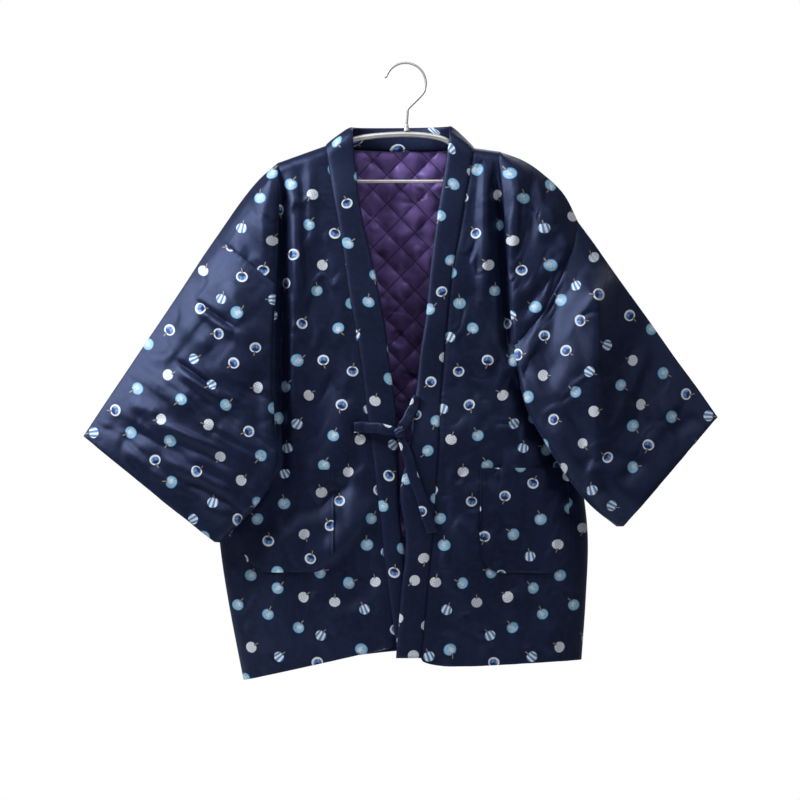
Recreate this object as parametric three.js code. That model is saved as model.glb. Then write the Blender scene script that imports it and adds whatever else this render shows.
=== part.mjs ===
// A padded short coat (hanten) on a hanger, in millimetres, +Z up.
// The origin is the underside of the hook's top, where a rail carries it.
// The front faces -Y, and left and right are the wearer's, so the left side is +X.
import * as THREE from 'three';
import { mergeVertices } from 'three/addons/utils/BufferGeometryUtils.js';

// Driving sizes
const CLOTH = 4;
const COLLAR_THICK = 7;
const LINING_THICK = 2.5;
const POCKET_THICK = 2.5;
const TIE_THICK = 3;
const TIE_WIDE = 15;
const SEAM_GAP = 0.3;
const FOLD_RADIUS = 3.6;
const FOLD_GROWTH = 0.24;
const SHOULDER_ROUND = 13;
const SIDE_SEAM_Y = -4;
const SLEEVE_CLEAR = 7.5;
const SECTION_POWER = 2.6;
const BACK_ARM_Y = 2;
const NECK_BACK_Y = 32;
const BACK_HEM_LIFT = 26;

// Rows down from the shoulder to the armpit as shares of the way, and steps from there to the hem
const DOWN_TO_ARMPIT = [0, 0.04, 0.1, 0.17, 0.26, 0.4, 0.56, 0.72, 0.87, 1];
const HEM_STEPS = 9;
const CHEST_STEPS = 7;
const LAYER_SHARES = [0, 0.06, 0.17, 0.38, 0.68, 1];
const TURN_STEPS = 3;
const HIDDEN_STEPS = 3;
const NECK_STEPS = 10;

// Depth of the front and the back below the shoulder, by height
const BODY_DEPTH = [
  { z: -890, front: 60, back: 50 },
  { z: -700, front: 57, back: 46 },
  { z: -550, front: 53, back: 42 },
  { z: -400, front: 46, back: 36 },
  { z: -300, front: 38, back: 32 },
  { z: -200, front: 27, back: 26 },
  { z: -150, front: 19, back: 22 },
  { z: -100, front: 14, back: 18 },
];

// The wearer's right half, on -X
const RIGHT = {
  name: 'right',
  side: -1,
  fold: { x: -181, z: -143 },
  bow: 0,
  hemAtCollar: -829,
  hemAtSide: -878,
  seam: [
    { z: -830, x: -13, edge: 4 },
    { z: -721, x: -28, edge: 0 },
    { z: -621, x: -39, edge: -8 },
    { z: -508, x: -53, edge: -13 },
    { z: -401, x: -67, edge: -25 },
    { z: -337, x: -79, edge: -36 },
    { z: -259, x: -90, edge: -53 },
    { z: -188, x: -103, edge: -67 },
    { z: -119, x: -114, edge: -76 },
  ],
  sideSeam: [
    { z: -878, x: -229 },
    { z: -763, x: -251 },
    { z: -680, x: -263 },
    { z: -536, x: -273 },
    { z: -398, x: -284 },
  ],
  flap: [
    { reach: 0, outX: -181, outZ: -143, ridgeX: -181, ridgeZ: -143, armX: -181, armZ: -143 },
    { reach: 0.25, outX: -207, outZ: -166, ridgeX: -181, ridgeZ: -181, armX: -207, armZ: -206 },
    { reach: 0.5, outX: -231, outZ: -195, ridgeX: -182, ridgeZ: -222, armX: -234, armZ: -270 },
    { reach: 1, outX: -268, outZ: -248, ridgeX: -185, ridgeZ: -313, armX: -287, armZ: -398 },
  ],
  sleeve: [
    { share: 0.1, topX: -287, topZ: -276, ridgeX: -188, ridgeZ: -362, armX: -294, armZ: -424,
      topY: -8, frontY: -60, hiddenY: -49, armY: -24, backY: -3 },
    { share: 0.3, topX: -324, topZ: -333, ridgeX: -190, ridgeZ: -440, armX: -292, armZ: -478,
      topY: -13, frontY: -70, hiddenY: -55, armY: -28, backY: -5 },
    { share: 0.5, topX: -362, topZ: -390, ridgeX: -187, ridgeZ: -510, armX: -287, armZ: -535,
      topY: -19, frontY: -78, hiddenY: -58, armY: -32, backY: -8 },
    { share: 0.7, topX: -400, topZ: -447, ridgeX: -181, ridgeZ: -568, armX: -281, armZ: -590,
      topY: -26, frontY: -83, hiddenY: -60, armY: -36, backY: -11 },
    { share: 0.85, topX: -428, topZ: -489, ridgeX: -205, ridgeZ: -618, armX: -284, armZ: -630,
      topY: -32, frontY: -82, hiddenY: -54, armY: -39, backY: -14 },
    { share: 1, topX: -456, topZ: -532, ridgeX: -262, ridgeZ: -680, armX: -290, armZ: -659,
      topY: -40, frontY: -76, hiddenY: -42, armY: -34, backY: -18 },
  ],
};

// The wearer's left half, on +X, whose front laps over the right one from the breast down
const LEFT = {
  name: 'left',
  side: 1,
  fold: { x: 134, z: -127 },
  bow: 15,
  hemAtCollar: -845,
  hemAtSide: -849,
  seam: [
    { z: -845, x: 22, edge: -14 },
    { z: -773, x: 29, edge: -8 },
    { z: -707, x: 35, edge: 0 },
    { z: -670, x: 39, edge: 0 },
    { z: -607, x: 43, edge: -8 },
    { z: -546, x: 47, edge: 5 },
    { z: -479, x: 50, edge: 14 },
    { z: -413, x: 55, edge: 21 },
    { z: -360, x: 60, edge: 28 },
    { z: -295, x: 67, edge: 36 },
    { z: -248, x: 76, edge: 42 },
    { z: -185, x: 87, edge: 52 },
    { z: -122, x: 98, edge: 63 },
  ],
  sideSeam: [
    { z: -849, x: 249 },
    { z: -763, x: 255 },
    { z: -675, x: 258 },
    { z: -600, x: 250 },
    { z: -520, x: 236 },
    { z: -440, x: 214 },
  ],
  flap: [
    { reach: 0, outX: 134, outZ: -127, ridgeX: 134, ridgeZ: -127, armX: 134, armZ: -127 },
    { reach: 0.25, outX: 168, outZ: -140, ridgeX: 140, ridgeZ: -190, armX: 155, armZ: -203 },
    { reach: 0.5, outX: 197, outZ: -160, ridgeX: 145, ridgeZ: -258, armX: 175, armZ: -280 },
    { reach: 0.75, outX: 225, outZ: -188, ridgeX: 149, ridgeZ: -328, armX: 194, armZ: -358 },
    { reach: 1, outX: 245, outZ: -227, ridgeX: 155, ridgeZ: -401, armX: 213, armZ: -440 },
  ],
  sleeve: [
    { share: 0.1, topX: 267, topZ: -257, ridgeX: 160, ridgeZ: -432, armX: 226, armZ: -464,
      topY: -8, frontY: -64, hiddenY: -53, armY: -28, backY: -3 },
    { share: 0.3, topX: 304, topZ: -310, ridgeX: 172, ridgeZ: -488, armX: 246, armZ: -502,
      topY: -13, frontY: -76, hiddenY: -58, armY: -32, backY: -5 },
    { share: 0.5, topX: 344, topZ: -366, ridgeX: 198, ridgeZ: -537, armX: 265, armZ: -545,
      topY: -19, frontY: -84, hiddenY: -60, armY: -36, backY: -8 },
    { share: 0.7, topX: 383, topZ: -422, ridgeX: 232, ridgeZ: -590, armX: 285, armZ: -588,
      topY: -26, frontY: -86, hiddenY: -58, armY: -38, backY: -11 },
    { share: 0.85, topX: 413, topZ: -463, ridgeX: 264, ridgeZ: -628, armX: 302, armZ: -612,
      topY: -32, frontY: -82, hiddenY: -50, armY: -38, backY: -14 },
    { share: 1, topX: 442, topZ: -505, ridgeX: 300, ridgeZ: -657, armX: 322, armZ: -634,
      topY: -40, frontY: -76, hiddenY: -42, armY: -34, backY: -18 },
  ],
};

// Soft folds seen from the front: both ends, half width, and how far the cloth stands out or sinks in
const BODY_FOLDS = [
  { side: 1, x1: 114, z1: -135, x2: 104, z2: -330, half: 9, out: 6 },
  { side: 1, x1: 126, z1: -150, x2: 124, z2: -420, half: 9, out: -6 },
  { side: 1, x1: 75, z1: -570, x2: 105, z2: -790, half: 30, out: 5 },
  { side: 1, x1: 175, z1: -600, x2: 190, z2: -830, half: 26, out: -5 },
  { side: -1, x1: -160, z1: -150, x2: -148, z2: -330, half: 11, out: 5 },
  { side: -1, x1: -28, z1: -620, x2: -128, z2: -725, half: 20, out: 6 },
  { side: -1, x1: -80, z1: -590, x2: -160, z2: -660, half: 18, out: -5 },
  { side: -1, x1: -170, z1: -640, x2: -190, z2: -850, half: 26, out: 5 },
];
const SLEEVE_FOLDS = [
  { side: -1, x1: -290, z1: -345, x2: -242, z2: -385, half: 12, out: 5 },
  { side: -1, x1: -330, z1: -425, x2: -270, z2: -468, half: 13, out: -6 },
  { side: -1, x1: -345, z1: -490, x2: -235, z2: -560, half: 16, out: 6 },
  { side: -1, x1: -380, z1: -520, x2: -250, z2: -610, half: 14, out: -5 },
  { side: 1, x1: 250, z1: -255, x2: 190, z2: -330, half: 12, out: 6 },
  { side: 1, x1: 255, z1: -270, x2: 252, z2: -560, half: 13, out: 7 },
  { side: 1, x1: 300, z1: -390, x2: 345, z2: -560, half: 16, out: -5 },
  { side: 1, x1: 215, z1: -470, x2: 285, z2: -600, half: 13, out: 5 },
];
const BACK_FOLDS = [
  { side: -1, x1: -185, z1: -190, x2: -215, z2: -430, half: 34, out: -6 },
  { side: -1, x1: -90, z1: -520, x2: -120, z2: -840, half: 38, out: -6 },
  { side: 1, x1: 175, z1: -190, x2: 175, z2: -450, half: 34, out: -6 },
  { side: 1, x1: 60, z1: -480, x2: 90, z2: -840, half: 38, out: -6 },
];

const lerp = (a, b, t) => a + (b - a) * t;
const clamp = (t) => Math.min(1, Math.max(0, t));
const smooth = (t) => clamp(t) ** 2 * (3 - 2 * clamp(t));
const vec = (x, y, z) => new THREE.Vector3(x, y, z);

// A column of a table at a key value, along a smooth curve through the rows
function look(rows, key, value, column) {
  const up = rows[0][key] < rows[rows.length - 1][key];
  const list = up ? rows : [...rows].reverse();
  const t = Math.min(list[list.length - 1][key], Math.max(list[0][key], value));
  let i = 0;
  while (i < list.length - 2 && list[i + 1][key] < t) i += 1;
  const [before, a, b, after] = [list[i - 1] ?? list[i], list[i], list[i + 1], list[i + 2] ?? list[i + 1]];
  const span = b[key] - a[key];
  const u = (t - a[key]) / span;
  const slopeA = ((b[column] - before[column]) / (b[key] - before[key])) * span;
  const slopeB = ((after[column] - a[column]) / (after[key] - a[key])) * span;
  const [u2, u3] = [u * u, u * u * u];
  return (2 * u3 - 3 * u2 + 1) * a[column] + (u3 - 2 * u2 + u) * slopeA
    + (3 * u2 - 2 * u3) * b[column] + (u3 - u2) * slopeB;
}

// Shape of the body's cloth, front and back

const shoulderRise = (drop) => Math.sqrt(1 - (1 - clamp(drop / SHOULDER_ROUND)) ** 2);
const sectionShare = (s) => (1 - clamp(s) ** SECTION_POWER) ** (1 / SECTION_POWER);

function shoulderZ(half, x) {
  const top = half.seam[half.seam.length - 1];
  if (Math.abs(x) <= Math.abs(half.fold.x)) {
    return lerp(top.z, half.fold.z, (x - top.x) / (half.fold.x - top.x));
  }
  const rows = half.flap.map((row) => ({ x: Math.abs(row.outX), z: row.outZ }));
  return look(rows, 'x', Math.abs(x), 'z');
}

function outerX(half, z) {
  const [first, last] = [half.flap[0], half.flap[half.flap.length - 1]];
  if (z >= last.armZ) {
    const rows = half.flap.map((row) => ({ z: row.armZ, x: row.armX }));
    return look(rows, 'z', Math.min(z, first.armZ), 'x');
  }
  return look(half.sideSeam, 'z', z, 'x');
}

// A fold is a round ridge or trough about its line, fading out towards both ends
function foldsOut(folds, x, z, side) {
  let out = 0;
  for (const fold of folds) {
    const [dx, dz] = [fold.x2 - fold.x1, fold.z2 - fold.z1];
    const long = Math.hypot(dx, dz);
    const t = ((x - fold.x1) * dx + (z - fold.z1) * dz) / (long * long);
    if (fold.side === side && t > 0 && t < 1) {
      const away = ((x - fold.x1) * dz - (z - fold.z1) * dx) / long / fold.half;
      out += fold.out * Math.exp(-away * away) * Math.sin(Math.PI * t) ** 0.6;
    }
  }
  return out;
}

// The left front laps over the right one, so it stands out near its collar from the breast down
function lapOut(half, x, z) {
  const down = smooth((-z - 440) / 120);
  const near = smooth(1 - (x - 20) / 150);
  return half.side > 0 ? 13 * down * near : 0;
}

function frontY(half, x, z) {
  const seamX = look(half.seam, 'z', z, 'x');
  const share = (x - seamX) / (outerX(half, z) - seamX);
  const rise = shoulderRise(shoulderZ(half, x) - z);
  const armpitZ = half.flap[half.flap.length - 1].armZ;
  const down = smooth((z - half.fold.z) / (armpitZ - half.fold.z));
  const edge = z >= armpitZ ? lerp(-12, SIDE_SEAM_Y - 3, down) : SIDE_SEAM_Y;
  const depth = -look(BODY_DEPTH, 'z', z, 'front');
  const out = foldsOut(BODY_FOLDS, x, z, half.side) + lapOut(half, x, z);
  return (edge + (depth - edge - out) * sectionShare(share)) * rise;
}

// One piece of cloth as an open mesh of its middle surface

class Cloth {
  constructor(name) {
    this.name = name;
    this.points = [];
    this.thick = [];
    this.faces = [];
    this.index = new Map();
  }

  add(point, thick = CLOTH) {
    const key = point.toArray().map((c) => Math.round(c * 100)).join();
    if (!this.index.has(key)) {
      this.index.set(key, this.points.length);
      this.points.push(point.clone());
      this.thick.push(thick);
    }
    return this.index.get(key);
  }

  // Two triangles for each cell of a grid of points, without those that a pole collapses
  grid(rows, flip = false, thicks = null) {
    const ids = rows.map((row) => row.map((point, j) => this.add(point, thicks ? thicks[j] : CLOTH)));
    for (let i = 0; i < ids.length - 1; i += 1) {
      for (let j = 0; j < ids[i].length - 1; j += 1) {
        const [a, b, c, d] = [ids[i][j], ids[i][j + 1], ids[i + 1][j + 1], ids[i + 1][j]];
        for (const [p, q, r] of [[a, b, c], [a, c, d]]) {
          if (p !== q && q !== r && r !== p) this.faces.push(flip ? [p, r, q] : [p, q, r]);
        }
      }
    }
    return this;
  }
}

const placeKey = (point) => point.toArray().map((c) => Math.round(c * 50)).join();

// Outward direction at each place, shared by the pieces that are sewn together there
function sharedNormals(pieces) {
  const sums = new Map();
  for (const piece of pieces) {
    for (const [a, b, c] of piece.faces) {
      const [p, q, r] = [piece.points[a], piece.points[b], piece.points[c]];
      const normal = q.clone().sub(p).cross(r.clone().sub(p));
      for (const point of [p, q, r]) {
        const key = placeKey(point);
        sums.set(key, (sums.get(key) ?? vec(0, 0, 0)).add(normal));
      }
    }
  }
  return (point) => sums.get(placeKey(point)).clone().normalize();
}

function boundaryLoops(faces) {
  const next = new Map();
  const half = new Set(faces.flatMap(([a, b, c]) => [`${a},${b}`, `${b},${c}`, `${c},${a}`]));
  for (const [a, b, c] of faces) {
    for (const [p, q] of [[a, b], [b, c], [c, a]]) {
      if (!half.has(`${q},${p}`)) next.set(p, q);
    }
  }
  return next;
}

// The closed wall of a piece: the middle surface moved out and in by half its thickness, with a rim.
// Each free edge is drawn back by half the seam gap, square to the edge.
function wall(piece, normalAt) {
  const normals = piece.points.map((point) => normalAt(point));
  const next = boundaryLoops(piece.faces);
  const before = new Map([...next].map(([p, q]) => [q, p]));
  const middle = piece.points.map((point, i) => {
    if (!next.has(i)) return point.clone();
    const inward = (p, q) => normals[i].clone()
      .cross(piece.points[q].clone().sub(piece.points[p])).normalize();
    const [a, b] = [inward(before.get(i), i), inward(i, next.get(i))];
    const reach = (SEAM_GAP / 2) / Math.max(0.5, 1 + a.dot(b));
    return point.clone().addScaledVector(a.add(b), reach);
  });
  const offset = (sign) => middle.map((point, i) => point.clone()
    .addScaledVector(normals[i], sign * piece.thick[i] / 2));
  const points = [...offset(1), ...offset(-1)];
  const count = middle.length;
  const faces = [];
  for (const [a, b, c] of piece.faces) faces.push([a, b, c], [a + count, c + count, b + count]);
  for (const [p, q] of next) {
    // Sewn neighbours split their shared rim along the same diagonal
    if (placeKey(piece.points[p]) < placeKey(piece.points[q])) {
      faces.push([q, p, q + count], [p, p + count, q + count]);
    } else {
      faces.push([q, p, p + count], [q, p + count, q + count]);
    }
  }
  return solid(points, faces);
}

function solid(points, faces) {
  const geometry = new THREE.BufferGeometry();
  geometry.setAttribute('position', new THREE.Float32BufferAttribute(points.flatMap((p) => p.toArray()), 3));
  geometry.setIndex(faces.flat());
  return geometry;
}

// Front panels, with the fold under each shoulder that runs from the hanger to the armpit

function flapPoint(half, reach, name) {
  return [look(half.flap, 'reach', reach, `${name}X`), look(half.flap, 'reach', reach, `${name}Z`)];
}

// Path over the fold at one reach: from the shoulder's outline to the ridge, round it, back behind the
// front layer to the valley, and round that to the chest. All of it is level with the chest's own depth.
function foldArc(half, reach) {
  const grown = smooth(reach / FOLD_GROWTH);
  const [outX, outZ] = flapPoint(half, reach, 'out');
  const [ridgeX, ridgeZ] = flapPoint(half, reach, 'ridge');
  const [armX, armZ] = flapPoint(half, reach, 'arm');
  const radius = FOLD_RADIUS * grown;
  const inX = -half.side;
  const chestY = (x, z) => frontY(half, x, z);
  const ridgeAt = { x: ridgeX - inX * radius, z: ridgeZ };
  const armAt = { x: armX + inX * radius, z: armZ };
  const arc = [];
  const frontLayerY = chestY(ridgeAt.x, ridgeZ) - 4 * radius;
  for (const g of LAYER_SHARES) {
    const bow = half.bow * reach * 4 * g * (1 - g);
    const x = lerp(outX, ridgeAt.x, g) + half.side * bow * 0.85;
    const z = lerp(outZ, ridgeAt.z, g) - bow * 0.4;
    arc.push(vec(x, frontLayerY * (1 - (1 - g) ** 3), z));
  }
  for (let i = 1; i <= TURN_STEPS; i += 1) {
    const angle = Math.PI * i / TURN_STEPS;
    const x = ridgeAt.x + inX * radius * Math.sin(angle);
    const z = lerp(ridgeZ, armZ, 0.02 * i);
    arc.push(vec(x, chestY(ridgeAt.x, z) - radius * (3 + Math.cos(angle)), z));
  }
  const from = arc[arc.length - 1];
  for (let i = 1; i <= HIDDEN_STEPS; i += 1) {
    const [x, z] = [lerp(from.x, armAt.x, i / HIDDEN_STEPS), lerp(from.z, armAt.z, i / HIDDEN_STEPS)];
    arc.push(vec(x, chestY(x, z) - 2 * radius, z));
  }
  for (let i = 1; i <= TURN_STEPS; i += 1) {
    const angle = Math.PI * i / TURN_STEPS;
    const x = armAt.x - inX * radius * Math.sin(angle);
    arc.push(vec(x, chestY(armAt.x, armZ) - radius * (1 + Math.cos(angle)), armZ));
  }
  return arc;
}

// Column shares from the collar seam to the outer edge, closer together where the side rounds away
const chestShare = (j) => Math.sin((j / CHEST_STEPS) * Math.PI / 2) ** 1.15;

function chestRows(half) {
  const top = half.seam[half.seam.length - 1];
  const rows = [];
  const arcs = DOWN_TO_ARMPIT.map((reach) => foldArc(half, reach));
  const armpit = arcs[arcs.length - 1].at(-1);
  const row = (seamZ, edge) => Array.from({ length: CHEST_STEPS + 1 }, (_, j) => {
    if (j === CHEST_STEPS) return edge;
    const seamX = look(half.seam, 'z', seamZ, 'x');
    const share = chestShare(j);
    const [x, z] = [lerp(seamX, edge.x, share), lerp(seamZ, edge.z, share)];
    return vec(x, frontY(half, x, z), z);
  });
  DOWN_TO_ARMPIT.forEach((reach, k) => rows.push(row(lerp(top.z, armpit.z, reach), arcs[k].at(-1))));
  for (let k = 1; k <= HEM_STEPS; k += 1) {
    const share = k / HEM_STEPS;
    const z = lerp(armpit.z, half.hemAtSide, share);
    rows.push(row(lerp(armpit.z, half.hemAtCollar, share), vec(outerX(half, z), SIDE_SEAM_Y, z)));
  }
  return { rows, arcs };
}

function frontPanel(half, chest) {
  const flip = half.side < 0;
  const reversed = chest.arcs.map((arc) => [...arc].reverse());
  return new Cloth(`front_${half.name}`).grid(chest.rows, !flip).grid(reversed, !flip);
}

// Back panel: from one armhole to the other, below the shoulders and the scooped neck

function backY(half, x, z) {
  const armpitZ = half.flap.at(-1).armZ;
  const edgeX = z >= armpitZ ? backEdge(half, z).x : outerX(half, z);
  const edgeY = lerp(BACK_ARM_Y, SIDE_SEAM_Y, smooth((armpitZ + 40 - z) / 80));
  const rise = shoulderRise(shoulderZ(half, x) - z);
  const depth = look(BODY_DEPTH, 'z', z, 'back');
  const out = foldsOut(BACK_FOLDS, x, z, half.side);
  return (edgeY + (depth - edgeY + out) * sectionShare(x / edgeX)) * rise;
}

function backEdge(half, z) {
  const last = half.flap.at(-1);
  const t = clamp((z - last.outZ) / (last.armZ - last.outZ));
  return { x: lerp(last.outX, last.armX, t), z };
}

function neckLine(z0) {
  const points = [];
  const [from, to] = [RIGHT.seam.at(-1), LEFT.seam.at(-1)];
  for (let i = 0; i <= NECK_STEPS; i += 1) {
    const angle = Math.PI * i / NECK_STEPS;
    const x = lerp(from.x, to.x, (1 - Math.cos(angle)) / 2);
    const z = lerp(from.z, to.z, i / NECK_STEPS) - z0 * Math.sin(angle);
    points.push(vec(x, NECK_BACK_Y * Math.sin(angle) ** 1.1, z));
  }
  return points;
}

function backRows(chests) {
  const rows = [];
  const neck = neckLine(4);
  const steps = DOWN_TO_ARMPIT.length - 1 + HEM_STEPS;
  const outline = (half, chest) => [
    ...[...chest.arcs].reverse().map((arc) => arc[0]),
    ...[...chest.rows[0]].reverse().slice(1, -1),
  ];
  const top = [...outline(RIGHT, chests.right), ...neck, ...outline(LEFT, chests.left).reverse()];
  const edgeAt = (half, chest, k) => {
    const armRows = DOWN_TO_ARMPIT.length - 1;
    if (k > armRows) return chest.rows[k][CHEST_STEPS];
    const last = half.flap.at(-1);
    const z = lerp(last.outZ, last.armZ, DOWN_TO_ARMPIT[k]);
    return vec(backEdge(half, z).x, backY(half, backEdge(half, z).x, z), z);
  };
  for (let k = 0; k <= steps; k += 1) {
    if (k === 0) {
      rows.push(top);
      continue;
    }
    const [a, b] = [edgeAt(RIGHT, chests.right, k), edgeAt(LEFT, chests.left, k)];
    const [spanTop, spanNow] = [top.at(-1).x - top[0].x, b.x - a.x];
    rows.push(top.map((point, j) => {
      if (j === 0) return a;
      if (j === top.length - 1) return b;
      const share = (point.x - top[0].x) / spanTop;
      const even = j / (top.length - 1);
      const along = lerp(share, even, 0.25 * smooth(k / 6));
      const x = a.x + spanNow * along;
      const half = x < 0 ? RIGHT : LEFT;
      const edgeZ = lerp(a.z, b.z, along);
      const hang = k <= 9 ? DOWN_TO_ARMPIT[k] : 1;
      const z = lerp(point.z + (edgeZ - lerp(top[0].z, top.at(-1).z, along)), edgeZ, hang);
      const held = smooth(point.y / 14) * (1 - smooth(hang / 0.45));
      const lift = BACK_HEM_LIFT * smooth(k / steps) * (1 - (2 * along - 1) ** 2);
      return vec(x, lerp(backY(half, x, z), point.y, held), z + lift);
    }));
  }
  return { rows, neck, top };
}

// Sleeves: rings from the armhole to the cuff

function sleeveRing(half, share) {
  const get = (column) => look(half.sleeve, 'share', share, column);
  const [top, ridge, arm] = [vec(get('topX'), get('topY'), get('topZ')),
    vec(get('ridgeX'), 0, get('ridgeZ')), vec(get('armX'), get('armY'), get('armZ'))];
  const [front, hidden, back] = [get('frontY'), get('hiddenY'), get('backY')];
  const turn = (hidden - front) / 2;
  const turnX = Math.min(turn, 9) * half.side;
  const ring = [];
  const ridgeAt = ridge.clone();
  ridgeAt.x += turnX;
  const clear = (point) => {
    if (Math.abs(point.x) > Math.abs(outerX(half, point.z)) + 8) return point.y;
    return Math.min(point.y, frontY(half, point.x, point.z) - SLEEVE_CLEAR);
  };
  for (const g of LAYER_SHARES) {
    const point = top.clone().lerp(ridgeAt, g);
    point.y = lerp(top.y, front, 1 - (1 - g) ** 3);
    point.y -= foldsOut(SLEEVE_FOLDS, point.x, point.z, half.side) * smooth((share - 0.05) / 0.15) * smooth(g * 6);
    ring.push(point);
  }
  for (let i = 1; i <= TURN_STEPS; i += 1) {
    const angle = Math.PI * i / TURN_STEPS;
    const point = ridgeAt.clone();
    point.x -= turnX * Math.sin(angle);
    point.y = lerp(front, hidden, (1 - Math.cos(angle)) / 2);
    ring.push(point);
  }
  const from = ring.at(-1);
  for (let i = 1; i <= HIDDEN_STEPS + 1; i += 1) {
    const way = i / (HIDDEN_STEPS + 1);
    const point = from.clone().lerp(arm, way);
    point.y = lerp(hidden, arm.y, way ** 1.4);
    point.y = clear(point);
    ring.push(point);
  }
  const armRows = DOWN_TO_ARMPIT.length - 1;
  for (let i = 0; i < armRows; i += 1) {
    const way = (1 - DOWN_TO_ARMPIT[armRows - i]) * 0.94 + 0.06;
    const point = arm.clone().lerp(top, way);
    const base = lerp(arm.y, top.y, way);
    point.y = base + (back - base) * Math.sin(Math.PI * way) ** 0.7;
    point.y = clear(point);
    ring.push(point);
  }
  ring.push(ring[0]);
  return ring;
}

function sleeve(half, chest, back) {
  const arc = chest.arcs.at(-1).slice(0, -TURN_STEPS);
  const armRows = DOWN_TO_ARMPIT.length - 1;
  const edge = back.rows.slice(1, armRows + 1).map((row) => (half.side < 0 ? row[0] : row.at(-1)));
  // At the armpit the sleeve passes outside the corners of the front and the back
  const corner = edge.at(-1);
  const hidden = arc.at(-1);
  arc.push(vec(corner.x + half.side * 4, hidden.y - 2.5, hidden.z - 2));
  edge[edge.length - 1] = vec(corner.x + half.side * 9, -10, corner.z - 2);
  const armhole = [...arc, ...edge.reverse(), arc[0]];
  const shares = [0.05, 0.12, 0.22, 0.33, 0.44, 0.55, 0.66, 0.76, 0.85, 0.93, 1];
  const first = sleeveRing(half, 0.1);
  const rings = [armhole];
  for (const share of shares) {
    const ring = sleeveRing(half, Math.max(share, 0.1));
    rings.push(share < 0.1 ? armhole.map((point, j) => point.clone().lerp(first[j], share / 0.1)) : ring);
  }
  for (const ring of rings) ring[ring.length - 1] = ring[0];
  return new Cloth(`sleeve_${half.name}`).grid(rings, half.side < 0);
}

// Collar: one band from hem to hem round the neck

function collarPair(half, seamPoint) {
  const top = half.seam.at(-1);
  const lift = 23 * Math.exp((seamPoint.z - top.z) / 60);
  const z = seamPoint.z + lift;
  const edgeX = look(half.seam, 'z', seamPoint.z, 'edge');
  return [seamPoint, vec(edgeX, seamPoint.y - (half.side > 0 ? 1 : 0), z)];
}

function collar(chests, back) {
  const across = [0, 0.35, 0.7, 1];
  const down = (half, chest) => chest.rows.map((row) => collarPair(half, row[0]));
  const [rightTop, leftTop] = [RIGHT.seam.at(-1), LEFT.seam.at(-1)];
  const neck = back.neck.slice(1, -1).map((point, i) => {
    const angle = Math.PI * (i + 1) / NECK_STEPS;
    const x = lerp(rightTop.edge, leftTop.edge, (1 - Math.cos(angle)) / 2);
    return [point, vec(x, (NECK_BACK_Y + 6) * Math.sin(angle) ** 1.1, lerp(-96, -94, i / NECK_STEPS))];
  });
  const pairs = [...down(RIGHT, chests.right).reverse(), ...neck, ...down(LEFT, chests.left)];
  const rows = pairs.map(([seam, edge]) => across.map((share) => seam.clone().lerp(edge, share)));
  const thicks = [CLOTH, COLLAR_THICK, COLLAR_THICK, COLLAR_THICK - 1.5];
  return new Cloth('collar').grid(rows, false, thicks);
}

// Pieces that lie on a panel follow its own facets

// Height of a panel's middle surface at a place seen from the front, and the slope's stretch of a level step
function panelAt(rows, x, z) {
  for (let i = 0; i < rows.length - 1; i += 1) {
    for (let j = 0; j < rows[i].length - 1; j += 1) {
      const [a, b, c, d] = [rows[i][j], rows[i][j + 1], rows[i + 1][j + 1], rows[i + 1][j]];
      for (const [p, q, r] of [[a, b, c], [a, c, d]]) {
        const area = (q.x - p.x) * (r.z - p.z) - (r.x - p.x) * (q.z - p.z);
        const u = ((x - p.x) * (r.z - p.z) - (r.x - p.x) * (z - p.z)) / area;
        const v = ((q.x - p.x) * (z - p.z) - (x - p.x) * (q.z - p.z)) / area;
        if (u > -1e-6 && v > -1e-6 && u + v < 1 + 1e-6) {
          const normal = q.clone().sub(p).cross(r.clone().sub(p)).normalize();
          return { y: p.y + u * (q.y - p.y) + v * (r.y - p.y), stretch: 1 / Math.abs(normal.y) };
        }
      }
    }
  }
  return null;
}

// Where a piece may lie in front of a panel: clear of the cloth at this place and half a step round it
function layAt(rows, x, z, stepX, stepZ) {
  const places = [[0, 0], [1, 0], [-1, 0], [0, 1], [0, -1], [0.7, 0.7], [-0.7, 0.7], [0.7, -0.7], [-0.7, -0.7]];
  const found = places.map(([i, j]) => panelAt(rows, x + i * stepX / 2, z + j * stepZ / 2)).filter((at) => at);
  return Math.min(...found.map((at) => at.y - (CLOTH / 2) * at.stretch));
}

// A closed sheet between two sets of points with the same faces
function shell(name, outer, inner, faces) {
  const count = outer.length;
  const all = [];
  for (const [a, b, c] of faces) all.push([a, b, c], [a + count, c + count, b + count]);
  for (const [p, q] of boundaryLoops(faces)) all.push([q, p, p + count], [q, p + count, q + count]);
  return { name, geometry: solid([...outer, ...inner], all) };
}

const QUILT = { halfWide: 20, halfHigh: 21.5, rise: 3.2 };
const LINING = {
  left: -216, right: 196, top: -131, shoulderTop: -188, low: -818, neckLeft: -84, neckRight: 76, gap: 0.6,
};

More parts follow.
